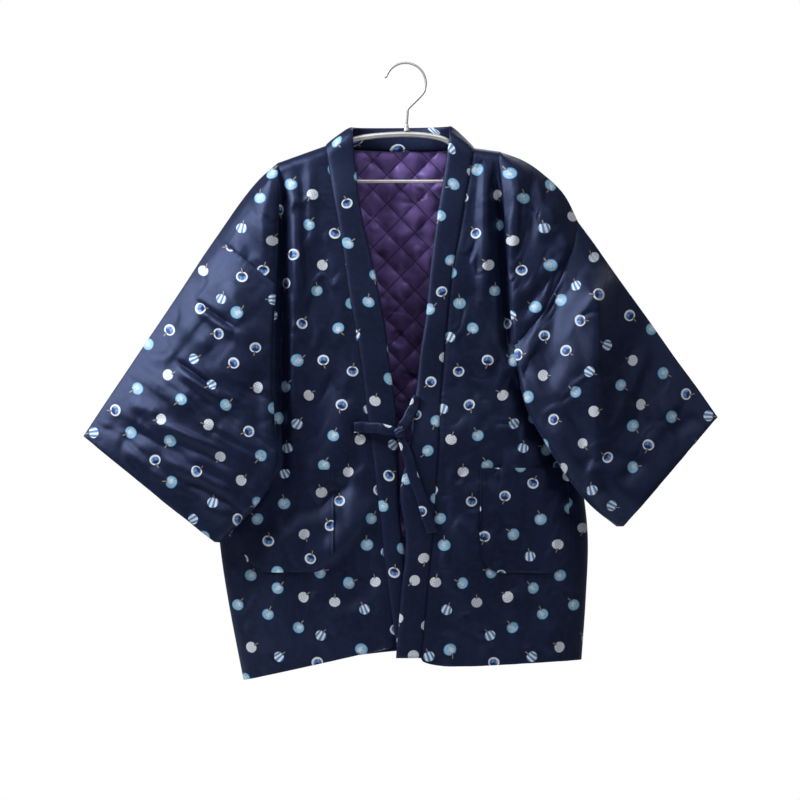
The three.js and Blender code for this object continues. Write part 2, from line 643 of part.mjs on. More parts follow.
// Quilted lining: each diamond rises from the stitch lines that run through every second grid point
function backLining(rows) {
  const columns = Math.round((LINING.right - LINING.left) / QUILT.halfWide);
  const down = Math.round((LINING.top - LINING.low) / QUILT.halfHigh);
  const [outer, inner, ids, faces] = [[], [], [], []];
  const at = (i, j) => [LINING.left + i * QUILT.halfWide, LINING.top - j * QUILT.halfHigh];
  const covered = (i, j) => {
    const [x, z] = at(i, j);
    const narrow = x < LINING.neckLeft || x > LINING.neckRight;
    return !narrow || z < LINING.shoulderTop;
  };
  const hemLift = (i) => 12 * Math.sin(Math.PI * i / columns);
  for (let j = 0; j <= down; j += 1) {
    for (let i = 0; i <= columns; i += 1) {
      if (covered(i, j)) {
        const [x, z0] = at(i, j);
        const z = z0 + hemLift(i) * (j / down) ** 2;
        const y = layAt(rows, x, z, QUILT.halfWide, QUILT.halfHigh) - LINING.gap;
        const high = (i + j) % 2 === 1 ? QUILT.rise : 0;
        ids[j * 100 + i] = outer.length;
        outer.push(vec(x, y - LINING_THICK - high, z));
        inner.push(vec(x, y, z));
      }
    }
  }
  for (let j = 0; j < down; j += 1) {
    for (let i = 0; i < columns; i += 1) {
      const [a, b, c, d] = [ids[j * 100 + i], ids[j * 100 + i + 1], ids[j * 100 + i + 101], ids[j * 100 + i + 100]];
      if ([a, b, c, d].every((id) => id !== undefined)) {
        if ((i + j) % 2 === 0) faces.push([a, c, b], [a, d, c]);
        else faces.push([a, d, b], [b, d, c]);
      }
    }
  }
  const used = new Set(faces.flat());
  const kept = outer.map((_, i) => i).filter((i) => used.has(i));
  const renumber = new Map(kept.map((i, k) => [i, k]));
  const tidy = faces.map((face) => face.map((i) => renumber.get(i)));
  return shell('lining_back', kept.map((i) => outer[i]), kept.map((i) => inner[i]), tidy);
}

const POCKETS = [
  { name: 'pocket_left', left: 106, right: 232, top: -576, low: -725, corner: 32, gap: -0.2 },
  { name: 'pocket_right', left: -229, right: -102, top: -578, low: -724, corner: 32, gap: 0.5 },
];
const POCKET_COLUMNS = 9;
const POCKET_ROWS = 7;

function pocket(spec, rows) {
  const [outer, inner, faces] = [[], [], []];
  const wide = spec.right - spec.left;
  for (let j = 0; j <= POCKET_ROWS; j += 1) {
    for (let i = 0; i <= POCKET_COLUMNS; i += 1) {
      const x = spec.left + wide * (1 - Math.cos(Math.PI * i / POCKET_COLUMNS)) / 2;
      const near = Math.max(0, spec.corner - Math.min(x - spec.left, spec.right - x));
      const low = spec.low + spec.corner - Math.sqrt(spec.corner ** 2 - near ** 2);
      const z = lerp(spec.top, low, j / POCKET_ROWS);
      const y = layAt(rows, x, z, wide / POCKET_COLUMNS, (spec.top - spec.low) / POCKET_ROWS) - spec.gap;
      outer.push(vec(x, y - POCKET_THICK, z));
      inner.push(vec(x, y, z));
    }
  }
  const wideRow = POCKET_COLUMNS + 1;
  for (let j = 0; j < POCKET_ROWS; j += 1) {
    for (let i = 0; i < POCKET_COLUMNS; i += 1) {
      const a = j * wideRow + i;
      faces.push([a, a + wideRow + 1, a + 1], [a, a + wideRow, a + wideRow + 1]);
    }
  }
  return shell(spec.name, outer, inner, faces);
}

// Ties: flat straps along a few points, facing the front, that meet at the knot
const KNOT = { x: -7, y: -70.6, z: -525, halfX: 9, halfY: 6, halfZ: 8 };
const TIES = [
  { name: 'tie_left', wide: TIE_WIDE, route: [
    { x: 17, y: -59.4, z: -474 }, { x: 12, y: -61.6, z: -488 }, { x: 6, y: -65, z: -501 },
    { x: 0, y: -69.5, z: -511.5 }, { x: -3.7, y: -70.6, z: -517 }] },
  { name: 'tie_right', wide: TIE_WIDE, route: [
    { x: -16.3, y: -70.6, z: -524 }, { x: -28, y: -68, z: -521 }, { x: -42, y: -63, z: -519 },
    { x: -58, y: -58.4, z: -518 }, { x: -73, y: -57, z: -518 }] },
  { name: 'tie_tail', wide: TIE_WIDE, route: [
    { x: -5.6, y: -70.6, z: -533 }, { x: 0, y: -71.4, z: -550 }, { x: 9, y: -73, z: -580 },
    { x: 20, y: -74.2, z: -612 }, { x: 30, y: -74.2, z: -642 }, { x: 38, y: -74.2, z: -667 }] },
];

function tie(spec) {
  const points = spec.route.map(({ x, y, z }) => vec(x, y, z));
  const rows = points.map((point, i) => {
    const along = points[Math.min(i + 1, points.length - 1)].clone().sub(points[Math.max(i - 1, 0)]);
    const across = vec(0, -1, 0).cross(along).normalize().multiplyScalar(spec.wide / 2);
    return [point.clone().sub(across), point.clone(), point.clone().add(across)];
  });
  const made = new Cloth(spec.name).grid(rows, false, [TIE_THICK, TIE_THICK, TIE_THICK]);
  return { name: spec.name, geometry: wall(made, sharedNormals([made])) };
}

function tieKnot() {
  const ball = new THREE.SphereGeometry(1, 12, 8);
  ball.scale(KNOT.halfX, KNOT.halfY, KNOT.halfZ).translate(KNOT.x, KNOT.y, KNOT.z);
  return ball;
}

// Hanger

function roundTube(points, radius, sides, steps) {
  const path = new THREE.CatmullRomCurve3(points, false, 'catmullrom', 0.5);
  const ring = Array.from({ length: sides }, (_, i) => {
    const angle = 2 * Math.PI * i / sides;
    return new THREE.Vector2(radius * Math.cos(angle), radius * Math.sin(angle));
  });
  return new THREE.ExtrudeGeometry(new THREE.Shape(ring), { steps, extrudePath: path });
}

const TUBE_RADIUS = 4;
const BAR_RADIUS = 2.5;
const WIRE_RADIUS = 1.45;
const ARM_ROUTE = [
  { x: -188, z: -164 }, { x: -174, z: -151 }, { x: -144, z: -140.5 }, { x: -120, z: -132 },
  { x: -102, z: -124.5 }, { x: -89, z: -116.5 }, { x: -76, z: -108.5 }, { x: -50, z: -103.5 },
  { x: -20, z: -101 }, { x: 2, z: -100.5 }, { x: 28, z: -102 }, { x: 50, z: -106 }, { x: 63, z: -112 },
  { x: 74, z: -120 }, { x: 86, z: -127.5 }, { x: 102, z: -132.5 }, { x: 134, z: -138 }, { x: 162, z: -149 },
  { x: 183, z: -164 },
];

const hangerFrame = () => roundTube(ARM_ROUTE.map(({ x, z }) => vec(x, 0, z)), TUBE_RADIUS, 10, 40);
const hangerBar = () => roundTube([vec(-183, 0, -167.5), vec(175, 0, -167.5)], BAR_RADIUS, 8, 2);

const HOOK_ARC = 29;
const HOOK_CENTRE_Z = -27.5;
const STEM_X = 1.7;
const FERRULE = { top: -86, low: -96.1, topRadius: 2.6, lowRadius: 4.4 };

// Wire bent round the rail, then down a short stem that ends just above the ferrule
function hangerHook() {
  const points = [vec(-29.7, 0, -19.3)];
  for (let i = 0; i <= 12; i += 1) {
    const angle = lerp(2.8, -0.55, i / 12);
    points.push(vec(HOOK_ARC * Math.cos(angle), 0, HOOK_CENTRE_Z + HOOK_ARC * Math.sin(angle)));
  }
  points.push(vec(12, 0, -56), vec(4, 0, -64), vec(STEM_X + 1.2, 0, -72), vec(STEM_X, 0, FERRULE.top + SEAM_GAP));
  return roundTube(points, WIRE_RADIUS, 8, 52);
}

function hangerFerrule() {
  const high = FERRULE.top - FERRULE.low;
  const made = new THREE.CylinderGeometry(FERRULE.topRadius, FERRULE.lowRadius, high, 16);
  return made.rotateX(Math.PI / 2).translate(STEM_X, 0, FERRULE.low + high / 2);
}

// The whole coat

const metal = { color: 0xdcdcd8, roughness: 0.3, metalness: 0.85 };
const navy = { color: 0x1a2142, roughness: 0.6, metalness: 0 };
const purple = { color: 0x453460, roughness: 0.6, metalness: 0 };

function mesh(name, geometry, finish) {
  const made = new THREE.Mesh(geometry, new THREE.MeshStandardMaterial(finish));
  made.name = name;
  return made;
}

const chests = { right: chestRows(RIGHT), left: chestRows(LEFT) };
const backPlan = backRows(chests);
const sewn = [
  frontPanel(RIGHT, chests.right),
  frontPanel(LEFT, chests.left),
  new Cloth('back').grid(backPlan.rows),
  sleeve(RIGHT, chests.right, backPlan),
  sleeve(LEFT, chests.left, backPlan),
  collar(chests, backPlan),
];
const normalAt = sharedNormals(sewn);

const coat = new THREE.Group();
for (const piece of sewn) coat.add(mesh(piece.name, wall(piece, normalAt), navy));
const lining = backLining(backPlan.rows);
coat.add(mesh(lining.name, lining.geometry, purple));
for (const spec of POCKETS) {
  const made = pocket(spec, (spec.left > 0 ? chests.left : chests.right).rows);
  coat.add(mesh(made.name, made.geometry, navy));
}
for (const spec of TIES) coat.add(mesh(spec.name, tie(spec).geometry, navy));
coat.add(mesh('tie_knot', tieKnot(), navy));
coat.add(mesh('hanger_frame', mergeVertices(hangerFrame()), metal));
coat.add(mesh('hanger_bar', mergeVertices(hangerBar()), metal));
coat.add(mesh('hanger_hook', mergeVertices(hangerHook()), metal));
coat.add(mesh('hanger_ferrule', mergeVertices(hangerFerrule()), metal));

export default coat;
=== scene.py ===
import math
import bpy
import bmesh
import numpy as np
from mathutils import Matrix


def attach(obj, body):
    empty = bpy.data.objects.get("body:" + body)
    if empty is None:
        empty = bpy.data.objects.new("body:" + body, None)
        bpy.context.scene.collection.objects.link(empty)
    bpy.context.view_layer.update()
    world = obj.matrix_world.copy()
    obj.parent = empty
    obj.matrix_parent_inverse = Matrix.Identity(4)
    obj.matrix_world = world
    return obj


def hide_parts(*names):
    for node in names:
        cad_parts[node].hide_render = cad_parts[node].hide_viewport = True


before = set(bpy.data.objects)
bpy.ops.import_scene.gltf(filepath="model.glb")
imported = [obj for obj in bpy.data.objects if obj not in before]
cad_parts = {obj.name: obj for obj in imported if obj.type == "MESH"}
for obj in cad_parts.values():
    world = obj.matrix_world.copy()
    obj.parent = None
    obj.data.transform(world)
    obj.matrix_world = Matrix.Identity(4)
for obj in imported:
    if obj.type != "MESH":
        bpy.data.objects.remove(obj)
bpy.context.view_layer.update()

MM = 0.001

# %% [markdown]
# The camera comes first, so that every later choice can be compared with the photograph. The coat was
# taken level and straight on. A long lens far away keeps the sleeves' outlines as flat as they look,
# and one pixel of the 800-pixel frame is 1.42 mm at the cloth.
# %% Camera
PIXEL = 1.42 * MM
VIEW_DISTANCE = 10.0
CLOTH_DEPTH = -0.045
SENSOR = 36.0
FRAME_PIXELS = 800
MIDDLE_X, MIDDLE_Z = -0.0078, -0.4794


def place_camera():
    """A level camera whose frame of 800 pixels spans 800 times PIXEL at the depth of the cloth."""
    data = bpy.data.cameras.new("camera")
    data.sensor_width = SENSOR
    data.lens = SENSOR * (VIEW_DISTANCE + CLOTH_DEPTH) / (FRAME_PIXELS * PIXEL)
    camera = bpy.data.objects.new("camera", data)
    camera.location = (MIDDLE_X, -VIEW_DISTANCE, MIDDLE_Z)
    camera.rotation_euler = (math.pi / 2, 0, 0)
    bpy.context.scene.collection.objects.link(camera)
    bpy.context.scene.camera = camera
    return data.lens


print("lens", round(place_camera(), 1), "mm")

# %% [markdown]
# Every outline comes from short tables with named columns, in millimetres, and a smooth curve runs
# through the rows. Working in millimetres keeps the numbers readable, and the last step of each piece
# turns them into metres.
# %% Tables and the curve through them


def table(columns, rows):
    """One array for each named column of a short table."""
    return dict(zip(columns.split(), np.array(rows, float).T))


def look(tab, key, at, column):
    """Value of a column where the key column has the value at: a cubic between the two rows round it,
    whose slope at each row is that of the chord between the rows before and after."""
    k, c = tab[key], tab[column]
    if k[0] > k[-1]:
        k, c = k[::-1], c[::-1]
    at = np.clip(at, k[0], k[-1])
    a = np.clip(np.searchsorted(k, at, side="left") - 1, 0, len(k) - 2)
    b = a + 1
    before, after = np.maximum(a - 1, 0), np.minimum(b + 1, len(k) - 1)
    span = k[b] - k[a]
    u = (at - k[a]) / span
    slope_a = (c[b] - c[before]) / (k[b] - k[before]) * span
    slope_b = (c[after] - c[a]) / (k[after] - k[a]) * span
    return ((2 * u**3 - 3 * u**2 + 1) * c[a] + (u**3 - 2 * u**2 + u) * slope_a
            + (3 * u**2 - 2 * u**3) * c[b] + (u**3 - u**2) * slope_b)


def looks(tab, key, at, names):
    """The same for several columns, given by their names in one string."""
    return [look(tab, key, at, name) for name in names.split()]


def lerp(a, b, t):
    return a + (b - a) * t


def smooth(t):
    """0 below 0, 1 above 1, and an even rise between."""
    t = np.clip(t, 0, 1)
    return t * t * (3 - 2 * t)


def points(x, y, z):
    """Three arrays of one shape as one array of points."""
    return np.stack(np.broadcast_arrays(x, y, z), axis=-1).astype(float)


# %% [markdown]
# The coat has two halves that differ: the wearer's left front laps over the right one, and each
# shoulder droops off the hanger in its own fold. Each half's tables give the collar seam with the
# collar's inner edge, the side seam, and the fold: its outline, its ridge and the armpit end of its
# valley, row by row from the hanger to the armpit.
# %% Sizes of the two halves
RIGHT = {
    "side": -1, "fold": (-181, -143), "bow": 0, "sag": 0, "hem_collar": -829, "hem_side": -878,
    "seam": table("z x edge", [
        (-830, -13, 4), (-721, -28, 0), (-621, -39, -8), (-508, -53, -13), (-401, -67, -25),
        (-337, -79, -36),
        (-259, -90, -53), (-188, -103, -67), (-119, -114, -76)]),
    "side_seam": table("z x", [(-878, -229), (-763, -251), (-680, -263), (-536, -273), (-398, -284)]),
    "flap": table("reach outX outZ ridgeX ridgeZ armX armZ", [
        (0, -181, -143, -181, -143, -181, -143), (0.25, -207, -166, -181, -181, -207, -206),
        (0.5, -231, -195, -182, -222, -234, -270), (1, -268, -248, -185, -313, -287, -398)]),
    "sleeve": table("share topX topZ ridgeX ridgeZ armX armZ topY frontY hiddenY armY backY", [
        (0.1, -287, -276, -188, -362, -294, -424, -8, -60, -49, -24, -3),
        (0.3, -324, -333, -190, -440, -292, -478, -13, -70, -55, -28, -5),
        (0.5, -362, -390, -187, -510, -287, -535, -19, -78, -58, -32, -8),
        (0.7, -400, -447, -181, -568, -281, -590, -26, -83, -60, -36, -11),
        (0.85, -428, -489, -205, -618, -284, -630, -32, -82, -54, -39, -14),
        (1, -456, -532, -262, -680, -290, -659, -40, -76, -42, -34, -18)]),
}
LEFT = {
    "side": 1, "fold": (134, -127), "bow": 15, "sag": 11, "hem_collar": -845, "hem_side": -849,
    "seam": table("z x edge", [
        (-845, 22, -14), (-773, 29, -8), (-707, 35, 0), (-670, 39, 0), (-607, 43, -8), (-546, 47, 5),
        (-479, 50, 14),
        (-413, 55, 21), (-360, 60, 28), (-295, 67, 36), (-248, 76, 42), (-185, 87, 52), (-122, 98, 63)]),
    "side_seam": table("z x", [
        (-849, 249), (-763, 255), (-675, 258), (-600, 250), (-520, 236), (-440, 214)]),
    "flap": table("reach outX outZ ridgeX ridgeZ armX armZ", [
        (0, 134, -127, 134, -127, 134, -127), (0.25, 168, -140, 140, -190, 155, -203),
        (0.5, 197, -160, 145, -258, 175, -280), (0.75, 225, -188, 149, -328, 194, -358),
        (1, 245, -227, 155, -401, 213, -440)]),
    "sleeve": table("share topX topZ ridgeX ridgeZ armX armZ topY frontY hiddenY armY backY", [
        (0.1, 267, -257, 160, -432, 226, -464, -8, -64, -53, -28, -3),
        (0.3, 304, -310, 172, -488, 246, -502, -13, -76, -58, -32, -5),
        (0.5, 344, -366, 198, -537, 265, -545, -19, -84, -60, -36, -8),
        (0.7, 383, -422, 232, -590, 285, -588, -26, -86, -58, -38, -11),
        (0.85, 413, -463, 264, -628, 302, -612, -32, -82, -50, -38, -14),
        (1, 442, -505, 300, -657, 322, -634, -40, -76, -42, -34, -18)]),
}
BODY = table("z front back", [
    (-890, 60, 50), (-700, 57, 46), (-550, 53, 42), (-400, 46, 36), (-300, 38, 32), (-200, 27, 26),
    (-150, 19, 22), (-100, 14, 18)])
SHOULDER_ROUND = 13
SIDE_SEAM_Y = -4
SECTION_POWER = 2.6
CLOTH = 4.0
NECK_BACK = 32
BACK_HEM_LIFT = 26
SLEEVE_CLEAR = 7.5

# %% [markdown]
# The body hangs flat: seen from above, each half is a shallow curve that is full near the collar and
# thins towards the side seam, and the cloth rounds over the hanger within a finger's width of the
# shoulder line.
# %% Depth of the body's cloth
VALLEY_TOP_Y, ARMPIT_Y, BACK_ARM_Y = -12, -7, 2
LAP, LAP_TOP, LAP_RISE = 13, -440, 120
LAP_START_X, LAP_WIDE = 20, 150
BACK_ARM_BLEND = 40


def shoulder_z(half, x):
    """Height of the shoulder line: straight from the collar to the fold, then along the fold's
    outline."""
    top_x, top_z = half["seam"]["x"][-1], half["seam"]["z"][-1]
    flap = {"x": np.abs(half["flap"]["outX"]), "z": half["flap"]["outZ"]}
    inner = lerp(top_z, half["fold"][1], (x - top_x) / (half["fold"][0] - top_x))
    return np.where(np.abs(x) <= abs(half["fold"][0]), inner, look(flap, "x", np.abs(x), "z"))


def armpit_z(half):
    return half["flap"]["armZ"][-1]


def outer_x(half, z):
    """Outer edge of the front: the fold's valley down to the armpit, and the side seam below it."""
    valley = {"z": half["flap"]["armZ"], "x": half["flap"]["armX"]}
    return np.where(z >= armpit_z(half), look(valley, "z", z, "x"), look(half["side_seam"], "z", z, "x"))


def rise(drop):
    """Quarter circle from 0 at the shoulder line to 1 at SHOULDER_ROUND below it."""
    return np.sqrt(np.maximum(0, 1 - (1 - np.clip(drop / SHOULDER_ROUND, 0, 1)) ** 2))


def section(share):
    """Fullness across the body: 1 at the middle and 0 at the edge, along a superellipse."""
    return np.maximum(0, 1 - np.clip(np.abs(share), 0, 1) ** SECTION_POWER) ** (1 / SECTION_POWER)


def front_y(half, x, z):
    """Depth of the front's middle surface."""
    seam_x = look(half["seam"], "z", z, "x")
    share = (x - seam_x) / (outer_x(half, z) - seam_x)
    armpit = armpit_z(half)
    fold_z = half["fold"][1]
    above = lerp(VALLEY_TOP_Y, ARMPIT_Y, smooth((z - fold_z) / (armpit - fold_z)))
    edge = np.where(z >= armpit, above, SIDE_SEAM_Y)
    lap = LAP * smooth((LAP_TOP - z) / LAP_RISE) * smooth(1 - (x - LAP_START_X) / LAP_WIDE)
    lap = lap if half["side"] > 0 else 0
    depth = -look(BODY, "z", z, "front") - lap
    return (edge + (depth - edge) * section(share)) * rise(shoulder_z(half, x) - z)


def back_edge_x(half, z):
    """Outer edge of the back above the armpit: straight from the shoulder's end to the armpit."""
    flap = half["flap"]
    t = np.clip((z - flap["outZ"][-1]) / (flap["armZ"][-1] - flap["outZ"][-1]), 0, 1)
    return lerp(flap["outX"][-1], flap["armX"][-1], t)


def back_half_y(half, x, z):
    armpit = armpit_z(half)
    edge_x = np.where(z >= armpit, back_edge_x(half, z), outer_x(half, z))
    edge_y = lerp(BACK_ARM_Y, SIDE_SEAM_Y, smooth((armpit - z) / (2 * BACK_ARM_BLEND) + 0.5))
    depth = look(BODY, "z", z, "back")
    return (edge_y + (depth - edge_y) * section(x / edge_x)) * rise(shoulder_z(half, x) - z)


def back_y(x, z):
    """Depth of the back's middle surface, each half with its own edge."""
    return np.where(x < 0, back_half_y(RIGHT, x, z), back_half_y(LEFT, x, z))


breast = front_y(RIGHT, np.float64(-120), np.float64(-450))
print("depth of the front at the breast", round(float(breast), 1), "mm")

# %% [markdown]
# Padded cotton never hangs quite smooth. Large creases are listed one row each: a line between
# two points of the front view, its half width, how far it stands out, and how much sharper it is on one
# side. Between them the wadding makes faint waves, which are a sum of waves in many directions with a
# fixed seed.
# %% Creases and the wadding's waves
CREASE_GAIN = 1.35
WAVE_COUNT = 12
WAVE_BEND = 0.7
SHARP_SHARE = 0.5
CREASE_FADE = 0.3
STITCH_DEEP, STITCH_REACH = 2.2, 3.2
CREASE_COLUMNS = "x1 z1 x2 z2 half out lean"
CREASES_RIGHT_FRONT = table(CREASE_COLUMNS, [
    (-160, -135, -148, -360, 11, 5, 0.2), (-136, -125, -132, -300, 8, 3, 0),
    (-176, -150, -170, -420, 8, -4, 0),
    (-206, -190, -196, -300, 10, 3, 0), (-232, -215, -214, -330, 12, -2.5, 0),
    (-28, -610, -128, -725, 16, 6, 0.5), (-62, -585, -160, -655, 15, -5, 0),
    (-20, -700, -100, -790, 18, -4, 0),
    (-120, -640, -205, -700, 18, 3, 0), (-170, -640, -190, -850, 26, 5, 0),
    (-235, -660, -225, -830, 14, -3, 0),
    (-174, -150, -176, -640, 9, -11, 0), (-158, -170, -160, -560, 12, 5, 0),
    (-70, -420, -100, -560, 16, 3, 0), (-120, -450, -150, -600, 22, -3, 0),
    (-50, -760, -160, -835, 16, 3, 0.3)])
CREASES_LEFT_FRONT = table(CREASE_COLUMNS, [
    (113, -122, 112, -360, 9, 6, 0), (126, -135, 148, -450, 8, -13, 0),
    (150, -430, 238, -610, 14, -8, 0), (160, -150, 152, -300, 8, 4.5, 0.3),
    (178, -150, 178, -270, 9, -5, 0), (215, -185, 196, -260, 13, 3.5, 0),
    (252, -232, 185, -330, 12, 5, 0.4),
    (228, -262, 160, -372, 9, -4, 0), (75, -560, 105, -790, 30, 5, 0), (140, -520, 120, -620, 16, -3, 0),
    (175, -600, 190, -830, 26, -4, 0), (60, -640, 130, -700, 14, 2.5, 0.3),
    (210, -700, 130, -800, 18, 3, 0),
    (85, -430, 150, -520, 18, -3, 0), (45, -790, 130, -835, 12, -2.5, 0)])
CREASES_RIGHT_SLEEVE = table(CREASE_COLUMNS, [
    (-306, -334, -236, -382, 4.5, -4.5, 0), (-300, -346, -232, -394, 7, 4, 0),
    (-330, -420, -262, -470, 4.5, -5, 0),
    (-326, -434, -258, -484, 7, 4, 0), (-360, -440, -300, -500, 14, 3, 0),
    (-290, -470, -230, -520, 12, -3.5, 0),
    (-376, -500, -250, -556, 8, 3.5, 0.4), (-356, -524, -232, -580, 7, -3.5, 0),
    (-396, -516, -296, -566, 7, -3, 0),
    (-356, -556, -230, -616, 8, 3.5, 0.4), (-322, -588, -228, -634, 7, -3, 0),
    (-404, -541, -326, -606, 8, 3, 0.3),
    (-300, -620, -248, -648, 9, 4, 0), (-424, -500, -372, -548, 12, -3, 0),
    (-255, -300, -212, -420, 14, 3.5, 0),
    (-214, -440, -206, -560, 10, -3, 0), (-330, -360, -270, -410, 16, 3, 0),
    (-395, -480, -345, -505, 10, 3, 0)])
CREASES_LEFT_SLEEVE = table(CREASE_COLUMNS, [
    (216, -300, 205, -480, 16, -5, 0), (182, -350, 170, -440, 12, 4, 0),
    (262, -560, 272, -630, 13, 6, 0), (228, -480, 282, -612, 12, -4, 0),
    (300, -380, 345, -560, 18, -3.5, 0),
    (345, -400, 300, -520, 13, 3.5, 0.3), (330, -340, 290, -420, 15, 2.5, 0),
    (395, -470, 330, -560, 14, 3, 0.3),
    (418, -500, 372, -530, 11, -3, 0), (200, -505, 250, -585, 13, 4, 0), (300, -600, 340, -560, 10, -3, 0)])
CREASES_BACK = table(CREASE_COLUMNS, [
    (-185, -190, -215, -430, 30, -6, 0), (-90, -480, -120, -840, 34, -6, 0),
    (175, -190, 175, -450, 30, -6, 0),
    (60, -460, 90, -840, 34, -6, 0), (-40, -240, -60, -480, 30, 4, 0), (100, -260, 60, -430, 26, 3, 0),
    (-230, -420, -120, -520, 16, -4, 0.3), (190, -440, 90, -540, 16, -4, 0.3),
    (-200, -560, -190, -850, 26, 4, 0),
    (170, -560, 180, -840, 26, 4, 0), (-10, -640, 10, -860, 26, 4, 0), (-150, -260, -60, -330, 18, 3, 0.3),
    (150, -270, 70, -340, 18, 3, 0.3), (-120, -600, -30, -690, 16, -3, 0), (20, -560, 130, -640, 16, 3, 0)])


def creases(tab, x, z):
    """Sum of the table's ridges and troughs. Each is a bell across its line, narrower on the side that
    it leans to, that fades out towards both ends."""
    out = np.zeros(np.broadcast(x, z).shape)
    for x1, z1, x2, z2, half, deep, lean in zip(*(tab[name] for name in CREASE_COLUMNS.split())):
        dx, dz = x2 - x1, z2 - z1
        long = math.hypot(dx, dz)
        t = ((x - x1) * dx + (z - z1) * dz) / long**2
        away = ((x - x1) * dz - (z - z1) * dx) / long
        wide = half * np.where(away > 0, 1 + lean, 1 - lean)
        out += deep * np.exp(-((away / wide) ** 2)) * smooth(t / CREASE_FADE) * smooth((1 - t) / CREASE_FADE)
    return out * CREASE_GAIN


def waves(x, z, seed, long, high):
    """Faint unevenness: plane waves of many directions, bent by one another, some folded into sharp
    crests."""
    draw = np.random.default_rng(seed)
    out = np.zeros(np.broadcast(x, z).shape)
    bent = np.zeros(out.shape)
    for k in range(WAVE_COUNT):
        angle = draw.uniform(0, math.pi)
        length = long * draw.uniform(0.4, 1.5)
        phase = 2 * math.pi * ((x * math.cos(angle) + z * math.sin(angle)) / length + draw.uniform()) + bent
        crest = (1 - np.abs(np.sin(phase / 2))) * 2 - 0.7 if k % 2 else np.sin(phase)
        out += crest * (length / long) * (SHARP_SHARE if k % 2 else 1)
        bent = bent + WAVE_BEND * np.sin(phase + k)
    return high * out / 3


def ripples(x, z, run, long, high, seed):
    """Long thin buckles along one direction of the front view. Their line wanders, and they swell and
    fade."""
    draw = np.random.default_rng(seed)
    across = (x * run[1] - z * run[0]) / long
    along = (x * run[0] + z * run[1]) / long
    a, b, c = draw.uniform(0, 6, 3)
    wander = 0.5 * np.sin(0.9 * along + a) + 0.35 * np.sin(1.7 * across + b)
    wander = wander + 0.2 * np.sin(2.3 * along - across + c)
    swell = smooth(0.5 + 0.5 * np.sin(0.8 * along + 1.9 * across + b) + 0.3 * np.sin(1.9 * along + a))
    crest = np.sin(2 * math.pi * across + 2.2 * wander)
    return high * swell * (crest + 0.35 * np.sin(4 * math.pi * across + 3 * wander + c))


def pucker(away, along, high=0.7, long=9.0, reach=9.0):
    """Small gathers beside a seam: waves along it that fade out within reach, deepest in the stitch
    line itself."""
    wave = np.sin(2 * math.pi * along / long + 1.3 * np.sin(along / 23.0))
    return high * (0.45 * wave * np.exp(-away / reach) - STITCH_DEEP * np.exp(-((away / STITCH_REACH) ** 2)))


# %% [markdown]
# A piece of cloth is a grid of points with a flat pattern place for each point, so that the print
# follows the cloth. Across a panel it is measured along the rows, as a tape would but with depth
# counted less, and down the panel it is the plain height. A solid wall comes from Solidify, and a small
# Bevel rounds the turned edges.
# %% Meshes from grids
LEVEL = np.array([1, 0.4, 0])
WELD, SLIVER = 0.005 * MM, 0.001 * MM
SHARP_ANGLE = math.radians(80)


def tape(grid, axis):
    """Length along one direction of a grid from its first line, in millimetres."""
    steps = np.linalg.norm(np.diff(grid, axis=axis), axis=-1)
    zero = np.zeros_like(np.take(steps, [0], axis=axis))
    return np.concatenate([zero, np.cumsum(steps, axis=axis)], axis=axis)


def grid_faces(rows, columns, start=0):
    """Quads of a grid whose points are numbered row by row."""
    ids = np.arange(rows * columns).reshape(rows, columns) + start
    return np.stack([ids[:-1, :-1], ids[:-1, 1:], ids[1:, 1:], ids[1:, :-1]], axis=-1).reshape(-1, 4)


def mesh_from_grids(name, grids, patterns, flips):
    """One smooth mesh of several grids of points, joined where they meet, with the pattern places as
    its UV map."""
    starts = np.cumsum([0] + [g.shape[0] * g.shape[1] for g in grids])
    faces = [grid_faces(g.shape[0], g.shape[1], s) for g, s in zip(grids, starts)]
    faces = np.concatenate([f[:, ::-1] if flip else f for f, flip in zip(faces, flips)])
    everything = np.concatenate([g.reshape(-1, 3) for g in grids]) * MM
    mesh = bpy.data.meshes.new(name)
    mesh.from_pydata(everything, [], faces.tolist())
    places = np.concatenate([p.reshape(-1, 2) for p in patterns]) * MM
    corner = np.empty(len(mesh.loops), np.int32)
    mesh.loops.foreach_get("vertex_index", corner)
    layer = mesh.uv_layers.new(name="pattern")
    layer.data.foreach_set("uv", places[corner].ravel().astype(np.float32))
    work = bmesh.new()
    work.from_mesh(mesh)
    bmesh.ops.remove_doubles(work, verts=work.verts, dist=WELD)
    bmesh.ops.dissolve_degenerate(work, edges=work.edges, dist=SLIVER)
    work.to_mesh(mesh)
    work.free()
    mesh.shade_smooth()
    piece = bpy.data.objects.new(name, mesh)
    bpy.context.scene.collection.objects.link(piece)
    return piece


def give_wall(piece, thick, edge=1.2):
    """Cloth thickness on both sides of the middle surface, with rounded edges."""
    wall = piece.modifiers.new("wall", "SOLIDIFY")
    wall.thickness = thick * MM
    wall.offset = 0
    turned = piece.modifiers.new("turned_edge", "BEVEL")
    turned.width = edge * MM
    turned.segments = 2
    turned.limit_method = "ANGLE"
    turned.angle_limit = SHARP_ANGLE
    return piece


def cloth_area(piece):
    """Area of one side of a piece's middle surface, in square metres."""
    return sum(face.area for face in piece.data.polygons)


